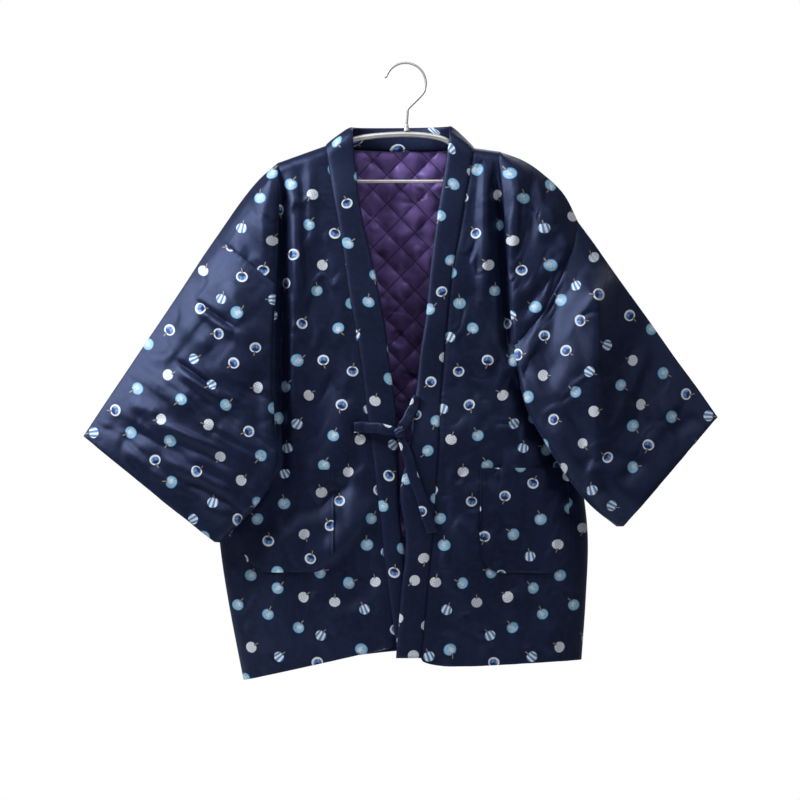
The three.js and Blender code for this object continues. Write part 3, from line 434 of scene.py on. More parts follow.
# %% [markdown]
# Each front is one panel. From the collar seam the cloth crosses the chest, turns under in the fold's
# valley, runs back behind the fold, and turns again over its ridge to the shoulder's end. One function
# gives that path for every height down to the armpit, and below it the panel is plain.
# %% Front panels
ROUND_STEPS = 7
FOLD_RADIUS = 3.6
FOLD_START = 0.08
FOLD_LAYER = 48
FOLD_PLACE = 200
FOLD_HIDDEN = 10
FOLD_CREASED = 0.25
VALLEY_CALM, SEAM_CALM, SIDE_CALM, TOP_CALM = 14, 22, 26, 20
CHEST_COLUMNS, HEM_ROWS = 84, 140
REACHES = np.concatenate([np.linspace(0, 0.1, 12), np.linspace(0.1, 1, 92)[1:]])


def layer_shares(count, power=2.0):
    """Shares from 0 to 1, close together at the start where the cloth rounds over the shoulder."""
    return np.linspace(0, 1, count) ** power


def fold_path(half, reach, layer=FOLD_LAYER, hidden=FOLD_HIDDEN):
    """Path over the fold at each reach: over the front layer from the outline to the ridge, round the
    ridge, back behind the layer, and round the valley to the chest. Returns the points and how much
    each may crease."""
    reach = np.atleast_1d(reach)[:, None]
    flap, side = half["flap"], half["side"]
    out_x, out_z, ridge_x, ridge_z, arm_x, arm_z = looks(
        flap, "reach", reach, "outX outZ ridgeX ridgeZ armX armZ")
    radius = FOLD_RADIUS * lerp(FOLD_START, 1, smooth(reach / 0.24))
    ridge_in, arm_in = ridge_x + side * radius, arm_x - side * radius
    g = layer_shares(layer)[None, :]
    bow = half["bow"] * reach * 4 * g * (1 - g)
    front_layer = front_y(half, ridge_in, ridge_z) - 4 * radius
    over = points(lerp(out_x, ridge_in, g) + side * bow * 0.85,
                  front_layer * (1 - (1 - g) ** 3), lerp(out_z, ridge_z, g) - bow * 0.4)
    angle = np.linspace(0, math.pi, ROUND_STEPS + 1)[None, 1:]
    turn_z = lerp(ridge_z, arm_z, 0.06 * angle / math.pi)
    ridge = points(ridge_in - side * radius * np.sin(angle),
                   front_y(half, ridge_in, turn_z) - radius * (3 + np.cos(angle)), turn_z)
    back = np.linspace(0, 1, hidden + 1)[None, 1:]
    hid_x, hid_z = lerp(ridge[:, -1:, 0], arm_in, back), lerp(ridge[:, -1:, 2], arm_z, back)
    behind = points(hid_x, front_y(half, hid_x, hid_z) - 2 * radius, hid_z)
    valley = points(arm_in + side * radius * np.sin(angle),
                    front_y(half, arm_in, arm_z) - radius * (1 + np.cos(angle)), arm_z)
    turning = 1 - smooth(angle[0] / math.pi * 1.5)
    free = np.concatenate([smooth(g / 0.3)[0], turning, np.zeros(hidden + ROUND_STEPS)])
    return np.concatenate([over, ridge, behind, valley], axis=1), free


def chest_grid(half):
    """Points of the chest and the skirt of a front: rows from the shoulder to the hem, columns from the
    collar seam to the fold's valley or the side seam."""
    arcs, free = fold_path(half, REACHES)
    top_z, armpit = half["seam"]["z"][-1], arcs[-1, -1]
    share = np.sin(np.linspace(0, 1, CHEST_COLUMNS) * math.pi / 2)[None, :] ** 1.15
    down = np.linspace(0, 1, HEM_ROWS + 1)[1:]
    seam_z = np.concatenate([lerp(top_z, armpit[2], REACHES), lerp(armpit[2], half["hem_collar"], down)])
    seam_z = seam_z[:, None]
    side_z = lerp(armpit[2], half["hem_side"], down)
    edge_x = np.concatenate([arcs[:, -1, 0], outer_x(half, side_z)])[:, None]
    edge_z = np.concatenate([arcs[:, -1, 2], side_z])[:, None]
    seam_x = look(half["seam"], "z", seam_z, "x")
    x, z = lerp(seam_x, edge_x, share), lerp(seam_z, edge_z, share)
    low = np.concatenate([np.zeros(len(REACHES)), down])[:, None]
    z = z - half["sag"] * low**3 * np.sin(math.pi * share**0.45)
    chest = points(x, front_y(half, x, z), z)
    chest[:len(REACHES), -1] = arcs[:, -1]
    chest[len(REACHES):, -1, 1] = SIDE_SEAM_Y
    return chest, arcs, free


def front_creases(half, x, z):
    """How far the front stands out of its plain form."""
    tab = CREASES_RIGHT_FRONT if half["side"] < 0 else CREASES_LEFT_FRONT
    return creases(tab, x, z) + waves(x, z, 11 if half["side"] < 0 else 12, 80, 1.8)


def front_relief(half, x, z):
    """The same, held down at the collar seam, the side and the shoulder, so that neighbours stay
    joined."""
    seam_x = look(half["seam"], "z", z, "x")
    from_seam, from_side = np.abs(x - seam_x), np.abs(outer_x(half, z) - x)
    from_top = np.maximum(0, shoulder_z(half, x) - z)
    calm = smooth(from_seam / SEAM_CALM) * smooth(from_side / SIDE_CALM) * smooth(from_top / TOP_CALM)
    gathers = pucker(from_seam, z, 0.6) * smooth(from_top / 12)
    return front_creases(half, x, z) * calm + gathers


def front_panel(half, name):
    chest, arcs, free = chest_grid(half)
    held = np.ones(chest.shape[:2])
    beside = chest[:len(REACHES)]
    held[:len(REACHES)] = smooth(np.linalg.norm(beside - beside[:, -1:], axis=-1) / VALLEY_CALM)
    chest[:, :, 1] -= front_relief(half, chest[..., 0], chest[..., 2]) * held
    shown = free[None, :]
    grown = smooth(REACHES / FOLD_CREASED)[:, None]
    arcs[:, :, 1] -= front_creases(half, arcs[..., 0], arcs[..., 2]) * shown * grown
    armhole = np.linalg.norm(arcs - arcs[-1:], axis=-1)
    arcs[:, :, 1] -= pucker(armhole, tape(arcs, 1)) * shown * grown
    across = tape(chest * LEVEL, 1) + half["side"] * chest[:, :1, 0]
    chest_pattern = np.stack([across, chest[..., 2]], axis=-1)
    over = tape(arcs[:, ::-1] * LEVEL, 1)[:, ::-1]
    to_ridge = np.maximum(over[:, FOLD_LAYER - 1:FOLD_LAYER], 0.01)
    start = lerp(across[:len(REACHES), -1:], FOLD_PLACE - to_ridge, smooth(over / to_ridge))
    fold_pattern = np.stack([start + over, arcs[..., 2]], axis=-1)
    patterns = [chest_pattern, fold_pattern[:, ::-1]]
    return mesh_from_grids(name, [chest, arcs[:, ::-1]], patterns, [half["side"] > 0] * 2)


front_right = give_wall(front_panel(RIGHT, "front_right_cloth"), CLOTH)
front_left = give_wall(front_panel(LEFT, "front_left_cloth"), CLOTH)
print("fronts", round(cloth_area(front_right), 3), round(cloth_area(front_left), 3), "square metres")

# %% [markdown]
# The back is one panel without a centre seam. Its top edge follows the shoulders' outlines and dips
# behind the neck, and each row below blends from that line to a level row at the armpit. It is lifted a
# little between the sides, so its hem stays above the fronts' hems.
# %% Back panel
NECK_COLUMNS = 34
NECK_SCOOP = 4
SHOULDER_COLUMNS = 16
OUTLINE_COLUMNS = 30
NECK_BLEND = 0.45
BACK_CALM = 34


def neck_line():
    """Half ellipse round the back of the neck, from the right collar seam to the left one."""
    angle = np.linspace(0, math.pi, NECK_COLUMNS + 1)
    right, left = RIGHT["seam"], LEFT["seam"]
    x = lerp(right["x"][-1], left["x"][-1], (1 - np.cos(angle)) / 2)
    bulge = np.maximum(0, np.sin(angle))
    level = lerp(right["z"][-1], left["z"][-1], angle / math.pi)
    return points(x, NECK_BACK * bulge**1.1, level - NECK_SCOOP * bulge)


def shoulder_top(half):
    """The half's top edge from the shoulder's end to the collar seam."""
    reach = 1 - np.linspace(0, 1, OUTLINE_COLUMNS)
    flap, seam = half["flap"], half["seam"]
    out_x, out_z = looks(flap, "reach", reach, "outX outZ")
    outline = points(out_x, 0, out_z)
    t = np.linspace(0, 1, SHOULDER_COLUMNS + 1)[1:]
    straight = points(lerp(half["fold"][0], seam["x"][-1], t), 0, lerp(half["fold"][1], seam["z"][-1], t))
    return np.concatenate([outline, straight])


def back_grid():
    top = np.concatenate([shoulder_top(RIGHT), neck_line()[1:-1], shoulder_top(LEFT)[::-1]])
    hang = np.concatenate([np.linspace(0, 0.1, 8), np.linspace(0.1, 1, 50)[1:]])
    down = np.linspace(0, 1, HEM_ROWS)[1:]
    edges = []
    for half in (RIGHT, LEFT):
        z_high = lerp(half["flap"]["outZ"][-1], armpit_z(half), hang)
        z_low = lerp(armpit_z(half), half["hem_side"], down)
        x = np.concatenate([back_edge_x(half, z_high), outer_x(half, z_low)])
        z = np.concatenate([z_high, z_low])
        high_y = back_half_y(half, back_edge_x(half, z_high), z_high)
        y = np.concatenate([high_y, np.full(len(z_low), float(SIDE_SEAM_Y))])
        edges.append(points(x, y, z))
    right, left = (edge[:, None, :] for edge in edges)
    along = ((top[:, 0] - top[0, 0]) / (top[-1, 0] - top[0, 0]))[None, :]
    x = lerp(right[..., 0], left[..., 0], along)
    edge_z = lerp(right[..., 2], left[..., 2], along)
    above = np.concatenate([hang, np.ones(len(down))])[:, None]
    z = lerp(top[None, :, 2] + edge_z - lerp(top[0, 2], top[-1, 2], along), edge_z, above)
    held = smooth(top[None, :, 1] / NECK_BACK) * (1 - smooth(above / NECK_BLEND))
    row_share = np.linspace(0, 1, len(above))[:, None]
    lift = BACK_HEM_LIFT * smooth(row_share) * (1 - (2 * along - 1) ** 2)
    y = lerp(back_y(x, z), top[None, :, 1], held)
    grid = points(x, y, z + lift)
    grid[0], grid[:, 0], grid[:, -1] = top, edges[0], edges[1]
    return grid


def back_relief(x, z):
    """How far the back stands out of its plain form, held down at the shoulders and the sides."""
    calm = 0
    for half, own in ((RIGHT, x < 0), (LEFT, x >= 0)):
        edge_x = np.where(z >= armpit_z(half), back_edge_x(half, z), outer_x(half, z))
        from_top = shoulder_z(half, x) - z
        calm = calm + own * smooth(np.abs(edge_x - x) / BACK_CALM) * smooth(from_top / BACK_CALM)
    return (creases(CREASES_BACK, x, z) + waves(x, z, 13, 90, 2.0)) * calm


def back_panel():
    grid = back_grid()
    grid[1:, 1:-1, 1] += back_relief(grid[1:, 1:-1, 0], grid[1:, 1:-1, 2])
    across = tape(grid * LEVEL, 1)
    middle = across[:, across.shape[1] // 2][:, None]
    pattern = np.stack([across - middle, grid[..., 2]], axis=-1)
    return mesh_from_grids("back_cloth", [grid], [pattern], [False])


back = give_wall(back_panel(), CLOTH)
print("back", round(cloth_area(back), 3), "square metres")

# %% [markdown]
# A hanten's sleeve is one wide rectangle, folded along the arm and sewn below it. Off the arm it hangs
# nearly flat, bent over a ridge at its front, so a ring of it has four parts: the front layer, the turn
# at the ridge, the hidden layer behind it, and the back. The first ring is the armhole, made of the
# same points as the front and the back.
# %% Sleeves
LAYER_COLUMNS, HIDDEN_COLUMNS, BACK_COLUMNS = 60, 14, 56
UNDERARM = LAYER_COLUMNS + ROUND_STEPS + HIDDEN_COLUMNS - 1
BEND_X, BEND_OUT, BEND_ROUND = 272, 14, 3
CLOSE_TO_EDGE = 1.6
FIRST_SHARE = 0.1
ARMHOLE_CALM = 14
BODY_MARGIN = 8
SLEEVE_SHARES = np.concatenate([np.linspace(0, FIRST_SHARE, 14), np.linspace(FIRST_SHARE, 1, 112)[1:]])


def bent_front(x, top_x, ridge_x, top_y, front):
    """Depth of a front layer that bends over an upright line at BEND_X: it comes forward evenly from
    the outline to the bend, and falls back a little from there to the ridge. A hyperbola rounds the
    bend."""
    bend = np.clip(BEND_X, ridge_x + 25, top_x - 25)
    outer = top_y + (front - BEND_OUT - top_y) * (top_x - x) / (top_x - bend)
    inner = front - BEND_OUT + BEND_OUT * (bend - x) / (bend - ridge_x)
    return (outer + inner) / 2 + np.hypot((outer - inner) / 2, BEND_ROUND)


def sleeve_rings(half, share):
    """Points of the sleeve's rings: one row for each share of the way from the armhole to the cuff."""
    share = np.atleast_1d(share)[:, None]
    tab, side = half["sleeve"], half["side"]
    top_x, top_z, ridge_x, ridge_z, arm_x, arm_z = looks(
        tab, "share", share, "topX topZ ridgeX ridgeZ armX armZ")
    top_y, front, hidden, arm_y, back_y_ = looks(tab, "share", share, "topY frontY hiddenY armY backY")
    turn_x = np.minimum((hidden - front) / 2, 9) * side
    ridge_in = ridge_x + turn_x

    def clear(x, y, z):
        """Holds the hidden cloth in front of the body's own front."""
        outside = np.abs(x) > np.abs(outer_x(half, z)) + BODY_MARGIN
        return np.where(outside, y, np.minimum(y, front_y(half, x, z) - SLEEVE_CLEAR))

    g = layer_shares(LAYER_COLUMNS, CLOSE_TO_EDGE)[None, :]
    over_x = lerp(top_x, ridge_in, g)
    plain = lerp(top_y, front, 1 - (1 - g) ** 3)
    if side > 0:
        plain = lerp(plain, bent_front(over_x, top_x, ridge_in, top_y, front), smooth((share - 0.1) / 0.15))
    over = points(over_x, plain, lerp(top_z, ridge_z, g))
    angle = np.linspace(0, math.pi, ROUND_STEPS + 1)[None, 1:]
    ridge = points(ridge_in - turn_x * np.sin(angle), lerp(front, hidden, (1 - np.cos(angle)) / 2), ridge_z)
    way = np.linspace(0, 1, HIDDEN_COLUMNS + 1)[None, 1:]
    hid_x, hid_z = lerp(ridge_in, arm_x, way), lerp(ridge_z, arm_z, way)
    behind = points(hid_x, clear(hid_x, lerp(hidden, arm_y, way**1.4), hid_z), hid_z)
    up = np.linspace(0, 1, BACK_COLUMNS + 1)[None, 1:]
    back_x, back_z = lerp(arm_x, top_x, up), lerp(arm_z, top_z, up)
    base = lerp(arm_y, top_y, up)
    bulge = np.maximum(0, np.sin(math.pi * up)) ** 0.7
    back_part = points(back_x, clear(back_x, base + (back_y_ - base) * bulge, back_z), back_z)
    return np.concatenate([over, ridge, behind, back_part], axis=1)


def armhole_ring(half):
    """The seam with the body: the fold's path at the armpit's height, then up the back's edge."""
    side = half["side"]
    arc = fold_path(half, 1.0, LAYER_COLUMNS, HIDDEN_COLUMNS)[0][0]
    arc = arc[:LAYER_COLUMNS + ROUND_STEPS + HIDDEN_COLUMNS]
    g, plain = layer_shares(LAYER_COLUMNS, CLOSE_TO_EDGE), layer_shares(LAYER_COLUMNS)
    over = np.stack([np.interp(g, plain, arc[:LAYER_COLUMNS, k]) for k in range(3)], axis=-1)
    flap = half["flap"]
    z = np.linspace(armpit_z(half), flap["outZ"][-1], BACK_COLUMNS + 1)[1:]
    x = back_edge_x(half, z)
    low = 1 - smooth((z - armpit_z(half)) / 40)
    edge = points(x + side * 9 * low, lerp(back_half_y(half, x, z), -10, low), z - 2 * low)
    corner = points(flap["armX"][-1] + side * 4, arc[-1, 1] - 2.5, arc[-1, 2] - 2)
    bend = smooth(np.linspace(0, 1, HIDDEN_COLUMNS))[:, None]
    behind = arc[-HIDDEN_COLUMNS:]
    behind = behind + (corner - behind[-1]) * bend**2
    return np.concatenate([over, arc[LAYER_COLUMNS:LAYER_COLUMNS + ROUND_STEPS], behind, edge])


def sleeve_grid(half):
    rings = sleeve_rings(half, np.maximum(SLEEVE_SHARES, FIRST_SHARE))
    even = (SLEEVE_SHARES / FIRST_SHARE)[:, None, None]
    grid = lerp(armhole_ring(half)[None], rings, np.clip(lerp(even, smooth(even), 0.5), 0, 1))
    grid[:, -1] = grid[:, 0]
    return grid


def sleeve_relief(half, grid):
    """Creases of the front layer and of the back, none in the turn and on the hidden layer."""
    x, z = grid[..., 0], grid[..., 2]
    side = half["side"]
    tab = CREASES_RIGHT_SLEEVE if side < 0 else CREASES_LEFT_SLEEVE
    g = layer_shares(LAYER_COLUMNS, CLOSE_TO_EDGE)
    front = np.concatenate([smooth(g / 0.12), 1 - smooth(np.linspace(0.15, 1, ROUND_STEPS) * 1.6),
                            np.zeros(HIDDEN_COLUMNS + BACK_COLUMNS)])
    up = np.linspace(0, 1, BACK_COLUMNS)
    behind = np.concatenate([np.zeros(LAYER_COLUMNS + ROUND_STEPS + HIDDEN_COLUMNS),
                             smooth(up / 0.3) * smooth((1 - up) / 0.15)])
    down = tape(grid, 0)
    calm = smooth(down / ARMHOLE_CALM)
    uneven = waves(x, z, 14 if side < 0 else 15, 75, 1.3)
    if side < 0:
        uneven = uneven + ripples(x, z, (0.86, -0.51), 25, 1.0, 5) * smooth((-z - 390) / 120)
    else:
        uneven = uneven + ripples(x, z, (0.35, -0.94), 30, 0.6, 6) * smooth((-z - 330) / 120)
    near_cuff = 0.9 * pucker(tape(grid[::-1], 0)[::-1], tape(grid, 1), 0.5, 16, 12)
    shown = (creases(tab, x, z) + uneven) * calm + pucker(down, tape(grid, 1)) + near_cuff
    hidden = (creases(tab, x, z) * 0.6 + waves(x, z, 16, 80, 1.3)) * calm
    return -shown * front[None, :] + hidden * behind[None, :]


def sleeve_pattern(half, grid):
    """Pattern places on a sleeve: lengths along its top fold and square to it. Past the ridge they go
    on by the length round the turn and over the hidden layer."""
    tab = half["sleeve"]
    top = np.array([tab["topX"][0], tab["topZ"][0]])
    along = np.array([tab["topX"][-1], tab["topZ"][-1]]) - top
    along /= np.linalg.norm(along)
    flat = grid[..., [0, 2]] - top
    run = tape(grid * np.array([1, 1, 0]), 1)
    past = run[:, LAYER_COLUMNS:] - run[:, LAYER_COLUMNS - 1:LAYER_COLUMNS]
    flat[:, LAYER_COLUMNS:, 0] = flat[:, LAYER_COLUMNS - 1:LAYER_COLUMNS, 0] - half["side"] * past
    across = np.abs(flat @ np.array([-along[1], along[0]]))
    return np.stack([across, flat @ along], axis=-1)


def sleeve(half, name):
    grid = sleeve_grid(half)
    grid[..., 1] += sleeve_relief(half, grid)
    grid[:, -1] = grid[:, 0]
    front, behind = grid[:, :UNDERARM + 1], grid[:, UNDERARM:]
    pattern_back = sleeve_pattern(half, behind[:, ::-1])[:, ::-1] * np.array([-1, 1])
    patterns = [sleeve_pattern(half, front), pattern_back]
    return mesh_from_grids(name, [front, behind], patterns, [half["side"] > 0] * 2)


sleeve_right = give_wall(sleeve(RIGHT, "sleeve_right_cloth"), CLOTH)
sleeve_left = give_wall(sleeve(LEFT, "sleeve_left_cloth"), CLOTH)
print("sleeves", round(cloth_area(sleeve_right), 3), round(cloth_area(sleeve_left), 3), "square metres")

# %% [markdown]
# The collar is one straight band, folded over a roll of wadding and sewn on from hem to hem. It is a
# flattened tube: its section is a superellipse between the seam and the free edge, fuller than the
# panels beside it.
# %% Collar
COLLAR_THICK = 8.0
COLLAR_SIDES = 20
BLUNT_ACROSS, BLUNT_SQUARE = 0.62, 0.8
BAND_ROWS = 190
NECK_LIFT, LIFT_REACH = 28, 60
NECK_EDGE_Z = (-91, -89)


def band_line(half, z):
    """Seam and free edge of the collar down one front."""
    seam = half["seam"]
    x = look(seam, "z", z, "x")
    y = front_y(half, x, z)
    lift = NECK_LIFT * np.exp((z - seam["z"][-1]) / LIFT_REACH)
    edge = points(look(seam, "z", z, "edge"), y - (1 if half["side"] > 0 else 0), z + lift)
    return points(x, y, z), edge


def collar_lines():
    """Seam and free edge of the whole band: up the right front, round the neck and down the left
    front."""
    right = band_line(RIGHT, np.linspace(RIGHT["hem_collar"], RIGHT["seam"]["z"][-1], BAND_ROWS))
    left = band_line(LEFT, np.linspace(LEFT["seam"]["z"][-1], LEFT["hem_collar"], BAND_ROWS))
    angle = np.linspace(0, math.pi, NECK_COLUMNS + 1)
    bulge = np.maximum(0, np.sin(angle)) ** 1.1
    x = lerp(RIGHT["seam"]["edge"][-1], LEFT["seam"]["edge"][-1], (1 - np.cos(angle)) / 2)
    neck = neck_line()[1:-1], points(x, (NECK_BACK + 6) * bulge, lerp(*NECK_EDGE_Z, angle / math.pi))[1:-1]
    return [np.concatenate(parts) for parts in zip(right, neck, left)]


def flat_tube(seam, edge, thick, sides):
    """Flattened tube between two lines. Its section is a superellipse across the band and square to
    it."""
    middle, across = (seam + edge) / 2, (edge - seam) / 2
    along = np.gradient(middle, axis=0)
    square = np.cross(across, along)
    square /= np.linalg.norm(square, axis=-1, keepdims=True)
    angle = np.linspace(0, 2 * math.pi, sides + 1)[None, :, None]
    cos, sin = np.cos(angle), np.sin(angle)
    wide = np.sign(cos) * np.abs(cos) ** BLUNT_ACROSS
    high = np.sign(sin) * np.abs(sin) ** BLUNT_SQUARE * np.asarray(thick).reshape(-1, 1, 1) / 2
    return middle[:, None] + across[:, None] * wide + square[:, None] * high


def end_caps(grid):
    """The grid with a point at the middle of each end, which closes the tube."""
    first, last = (np.broadcast_to(end.mean(axis=0), (1, *end.shape)) for end in (grid[0], grid[-1]))
    return np.concatenate([first, grid, last])


def tube_pattern(grid):
    return np.stack([tape(grid, 1), tape(grid, 0)[:, :1] + 0 * grid[..., 0]], axis=-1)


def collar():
    seam, edge = collar_lines()
    run = tape(((seam + edge) / 2)[:, None], 0)[:, 0]
    thick = COLLAR_THICK + 0.5 * np.sin(run / 31.0) + 0.4 * np.sin(run / 13.0 + 2)
    edge = edge + (0.7 * np.sin(run / 37.0) + 0.4 * np.sin(run / 17.0))[:, None] * np.array([1, 0, 0])
    grid = end_caps(flat_tube(seam, edge, thick, COLLAR_SIDES))
    return mesh_from_grids("collar_band", [grid], [tube_pattern(grid)], [False])


collar_band = collar()
print("collar", len(collar_band.data.vertices), "points")

# %% [markdown]
# The lining shows in the V of the neck: purple satin quilted by machine in diamonds, each a small
# pillow between two pairs of stitch lines. Its height is the product of two sines without their signs,
# one across each set of slanting lines, raised to a power below one, so the pillows are full in the
# middle and drop steeply at the stitches.
# %% Quilted lining
QUILT_HALF_WIDE, QUILT_HALF_HIGH = 20.0, 20.6
QUILT_CROSSING = (-6.4, -219.5)
PILLOW = 6.5
QUILT_LEAST = 0.8
LINING_GAP = 5.2
LINING_TOP, LINING_LOW, LINING_MIDDLE = -125, -812, -8
LINING_NARROW, LINING_WIDE = 71, 204
LINING_ROWS, LINING_COLUMNS = 230, 120


def quilt_height(x, z):
    x_share = (x - QUILT_CROSSING[0]) / (2 * QUILT_HALF_WIDE)
    z_share = (z - QUILT_CROSSING[1]) / (2 * QUILT_HALF_HIGH)
    a, b = x_share + z_share, x_share - z_share
    pillow = (np.abs(np.sin(math.pi * a)) * np.abs(np.sin(math.pi * b))) ** 0.55
    gathers = 0.35 * np.sin(2 * math.pi * a * 7 + np.sin(9 * b)) * np.abs(np.sin(math.pi * b)) ** 0.3
    return QUILT_LEAST + PILLOW * pillow + gathers * pillow * 0.8 + waves(x, z, 21, 40, 0.12) * pillow


def lining():
    down = np.linspace(0, 1, LINING_ROWS)[:, None]
    across = np.linspace(-1, 1, LINING_COLUMNS)[None, :]
    z = lerp(LINING_TOP, LINING_LOW, down) + 10 * down**2 * (1 - across**2)
    half_wide = lerp(LINING_NARROW, LINING_WIDE, smooth((down - 0.03) / 0.17))
    x = LINING_MIDDLE + half_wide * across
    x, z = np.broadcast_arrays(x, z)
    grid = points(x, back_y(x, z) + back_relief(x, z) - LINING_GAP, z)
    front = grid - points(0, quilt_height(x, z), 0)
    pattern = np.stack([x, z], axis=-1)
    edge_on = [np.stack([g, h]) for g, h in ((grid[0], front[0]), (grid[-1], front[-1]))]
    sides = [np.stack([grid[:, 0], front[:, 0]]), np.stack([grid[:, -1], front[:, -1]])]
    grids = [front, grid, *edge_on, *sides]
    patterns = [pattern, pattern] + [g[..., [0, 2]] for g in grids[2:]]
    return mesh_from_grids("lining_quilt", grids, patterns, [False, True, True, False, False, True])


lining_quilt = lining()
print("lining", len(lining_quilt.data.polygons), "faces")

# %% [markdown]
# Two patch pockets are top-stitched to the fronts. Each is a sheet that lies on its front's own
# surface, creases and all, a little proud of it, pressed down along the stitched edge and slack at its
# mouth.
# %% Pockets
POCKETS = table("left right top low corner", [(106, 232, -576, -725, 32), (-229, -102, -578, -724, 32)])
POCKET_THICK = 2.5
STITCH_WIDE, MOUTH_HEM = 1.6, 17


def pocket(half, row, name):
    left, right, top, low, corner = (POCKETS[key][row] for key in ("left", "right", "top", "low", "corner"))
    across = np.linspace(0, math.pi, 56)[None, :]
    x = lerp(left, right, (1 - np.cos(across)) / 2)
    near = np.maximum(0, corner - np.minimum(x - left, right - x))
    bottom = low + corner - np.sqrt(np.maximum(0, corner**2 - near**2))
    down = (1 - np.cos(np.linspace(0, math.pi, 48))[:, None]) / 2
    x, z = np.broadcast_arrays(x, lerp(top, bottom, down))
    from_edge = np.minimum(np.minimum(x - left, right - x), (z - bottom) * 0.8)
    from_mouth = top - z
    slack = 1.3 * np.exp(-from_mouth / 14) * smooth(from_edge / 40)
    full = 0.9 * smooth(from_edge / 26)
    stitched = -0.5 * np.exp(-(((from_edge - 3) / STITCH_WIDE) ** 2))
    stitched = stitched - 0.5 * np.exp(-(((from_mouth - MOUTH_HEM) / STITCH_WIDE) ** 2))
    y = front_y(half, x, z) - front_relief(half, x, z) - CLOTH / 2 - POCKET_THICK / 2 - 0.3
    grid = points(x, y - slack - full - stitched, z)
    pattern = np.stack([x + 37 + 20 * row, z + 23], axis=-1)
    return give_wall(mesh_from_grids(name, [grid], [pattern], [True]), POCKET_THICK, 0.8)


pocket_left = pocket(LEFT, 0, "pocket_left_cloth")
pocket_right = pocket(RIGHT, 1, "pocket_right_cloth")

# %% [markdown]
# The ties are narrow folded straps. The left one runs from the collar's edge into the knot, the right
# one stands out of it as a loop laid flat, and one end hangs down the collar. Each strap is a flattened
# tube along a curve through a few points, and the knot is a rounded lump with two wraps pressed into
# it.
# %% Ties and knot
TIE_WIDE, TIE_THICK = 15.0, 3.2
STRAP_SIDES = 16
TIES = {
    "tie_left": table("x y z", [(17, -60, -474), (12, -62, -488), (6, -65.5, -501), (0, -69.5, -511.5),
                                (-3.7, -70.6, -517)]),
    "tie_right": table("x y z", [(-16.3, -70.6, -524), (-28, -69, -521), (-42, -65, -519), (-58, -61, -518),
                                 (-73, -59.5, -518)]),
    "tie_tail": table("x y z", [(-5.6, -70.6, -533), (0, -72.4, -550), (9, -74.5, -580), (20, -76, -612),
                                (30, -76, -642), (38, -76, -667)]),
}
KNOT = {"centre": (-7, -70.6, -525), "half": (10, 6.5, 9)}


def through(tab, count):
    """Smooth curve through a table's points, evenly numbered."""
    keys = dict(tab, step=np.arange(len(tab["x"]), dtype=float))
    t = np.linspace(0, len(tab["x"]) - 1, count)
    return points(*looks(keys, "step", t, "x y z"))


def strap(name, tab):
    line = through(tab, 60)
    along = np.gradient(line, axis=0)
    across = np.cross([0, -1, 0], along)
    across /= np.linalg.norm(across, axis=-1, keepdims=True)
    t = np.linspace(0, 1, 60)[:, None]
    half_wide = TIE_WIDE / 2 * lerp(0.75, 1.0, smooth(t / 0.35))
    ripple = 0.5 * np.sin(t * 17)
    thick = TIE_THICK * (1 + 0.12 * np.sin(t * 23))
    low, high = line - across * (half_wide + ripple), line + across * (half_wide - ripple)
    grid = end_caps(flat_tube(low, high, thick, STRAP_SIDES))
    return mesh_from_grids(name + "_strap", [grid], [tube_pattern(grid)], [False])


def knot():
    """Ball stretched to the knot's size, with grooves where the strap wraps over itself."""
    theta = np.linspace(0, math.pi, 30)[:, None]
    phi = np.linspace(0, 2 * math.pi, 49)[None, :]
    x, y, z = np.sin(theta) * np.cos(phi), np.sin(theta) * np.sin(phi), np.cos(theta) + 0 * phi
    groove = 0.16 * np.exp(-(((x * 0.8 + z * 0.6 - 0.18) / 0.13) ** 2))
    groove = groove + 0.12 * np.exp(-(((x * 0.6 - z * 0.8 + 0.35) / 0.12) ** 2))
    size = 1 - groove + 0.05 * np.sin(5 * x + 3 * z)
    cx, cy, cz = KNOT["centre"]
    hx, hy, hz = KNOT["half"]
    grid = points(cx + hx * x * size, cy + hy * y * size, cz + hz * z * size)
    return mesh_from_grids("tie_knot_cloth", [grid], [grid[..., [0, 2]]], [False])


straps = {name: strap(name, tab) for name, tab in TIES.items()}
tie_knot = knot()

# %% [markdown]
# The hanger is a bent tube with a straight lower rod, and a wire hook set in a small ferrule. Each is a
# round tube carried along a curve, with more sides than the plain model so that its highlights run
# smoothly.
# %% Hanger
ARMS = [
    (-188, -164), (-174, -151), (-144, -140.5), (-120, -132), (-102, -124.5), (-89, -116.5), (-76, -108.5),
    (-50, -103.5), (-20, -101), (2, -100.5), (28, -102), (50, -106), (63, -112), (74, -120), (86, -127.5),
    (102, -132.5), (134, -138), (162, -149), (183, -164)]
HOOK_ARC, HOOK_CENTRE_Z, STEM_X = 29, -27.5, 1.7
TUBE_RADIUS, ROD_RADIUS, WIRE_RADIUS = 4, 2.5, 1.7
ROD_START, ROD_END, ROD_Z = -183, 175, -167.5


def upright(rows):
    """Table of a curve in the plane of X and Z."""
    return table("x y z", [(x, 0, z) for x, z in rows])


def round_tube(name, line, radius, sides=20):
    """Round tube along a line in the plane of X and Z, with closed ends."""
    along = np.gradient(line, axis=0)
    along /= np.linalg.norm(along, axis=-1, keepdims=True)
    side = np.cross(along, [0, 1, 0])
    angle = np.linspace(0, 2 * math.pi, sides + 1)[None, :, None]
    ring = side[:, None] * np.cos(angle) + np.array([0, 1, 0]) * np.sin(angle)
    grid = end_caps(line[:, None] + ring * np.asarray(radius).reshape(-1, 1, 1))
    return mesh_from_grids(name, [grid], [tube_pattern(grid)], [False])


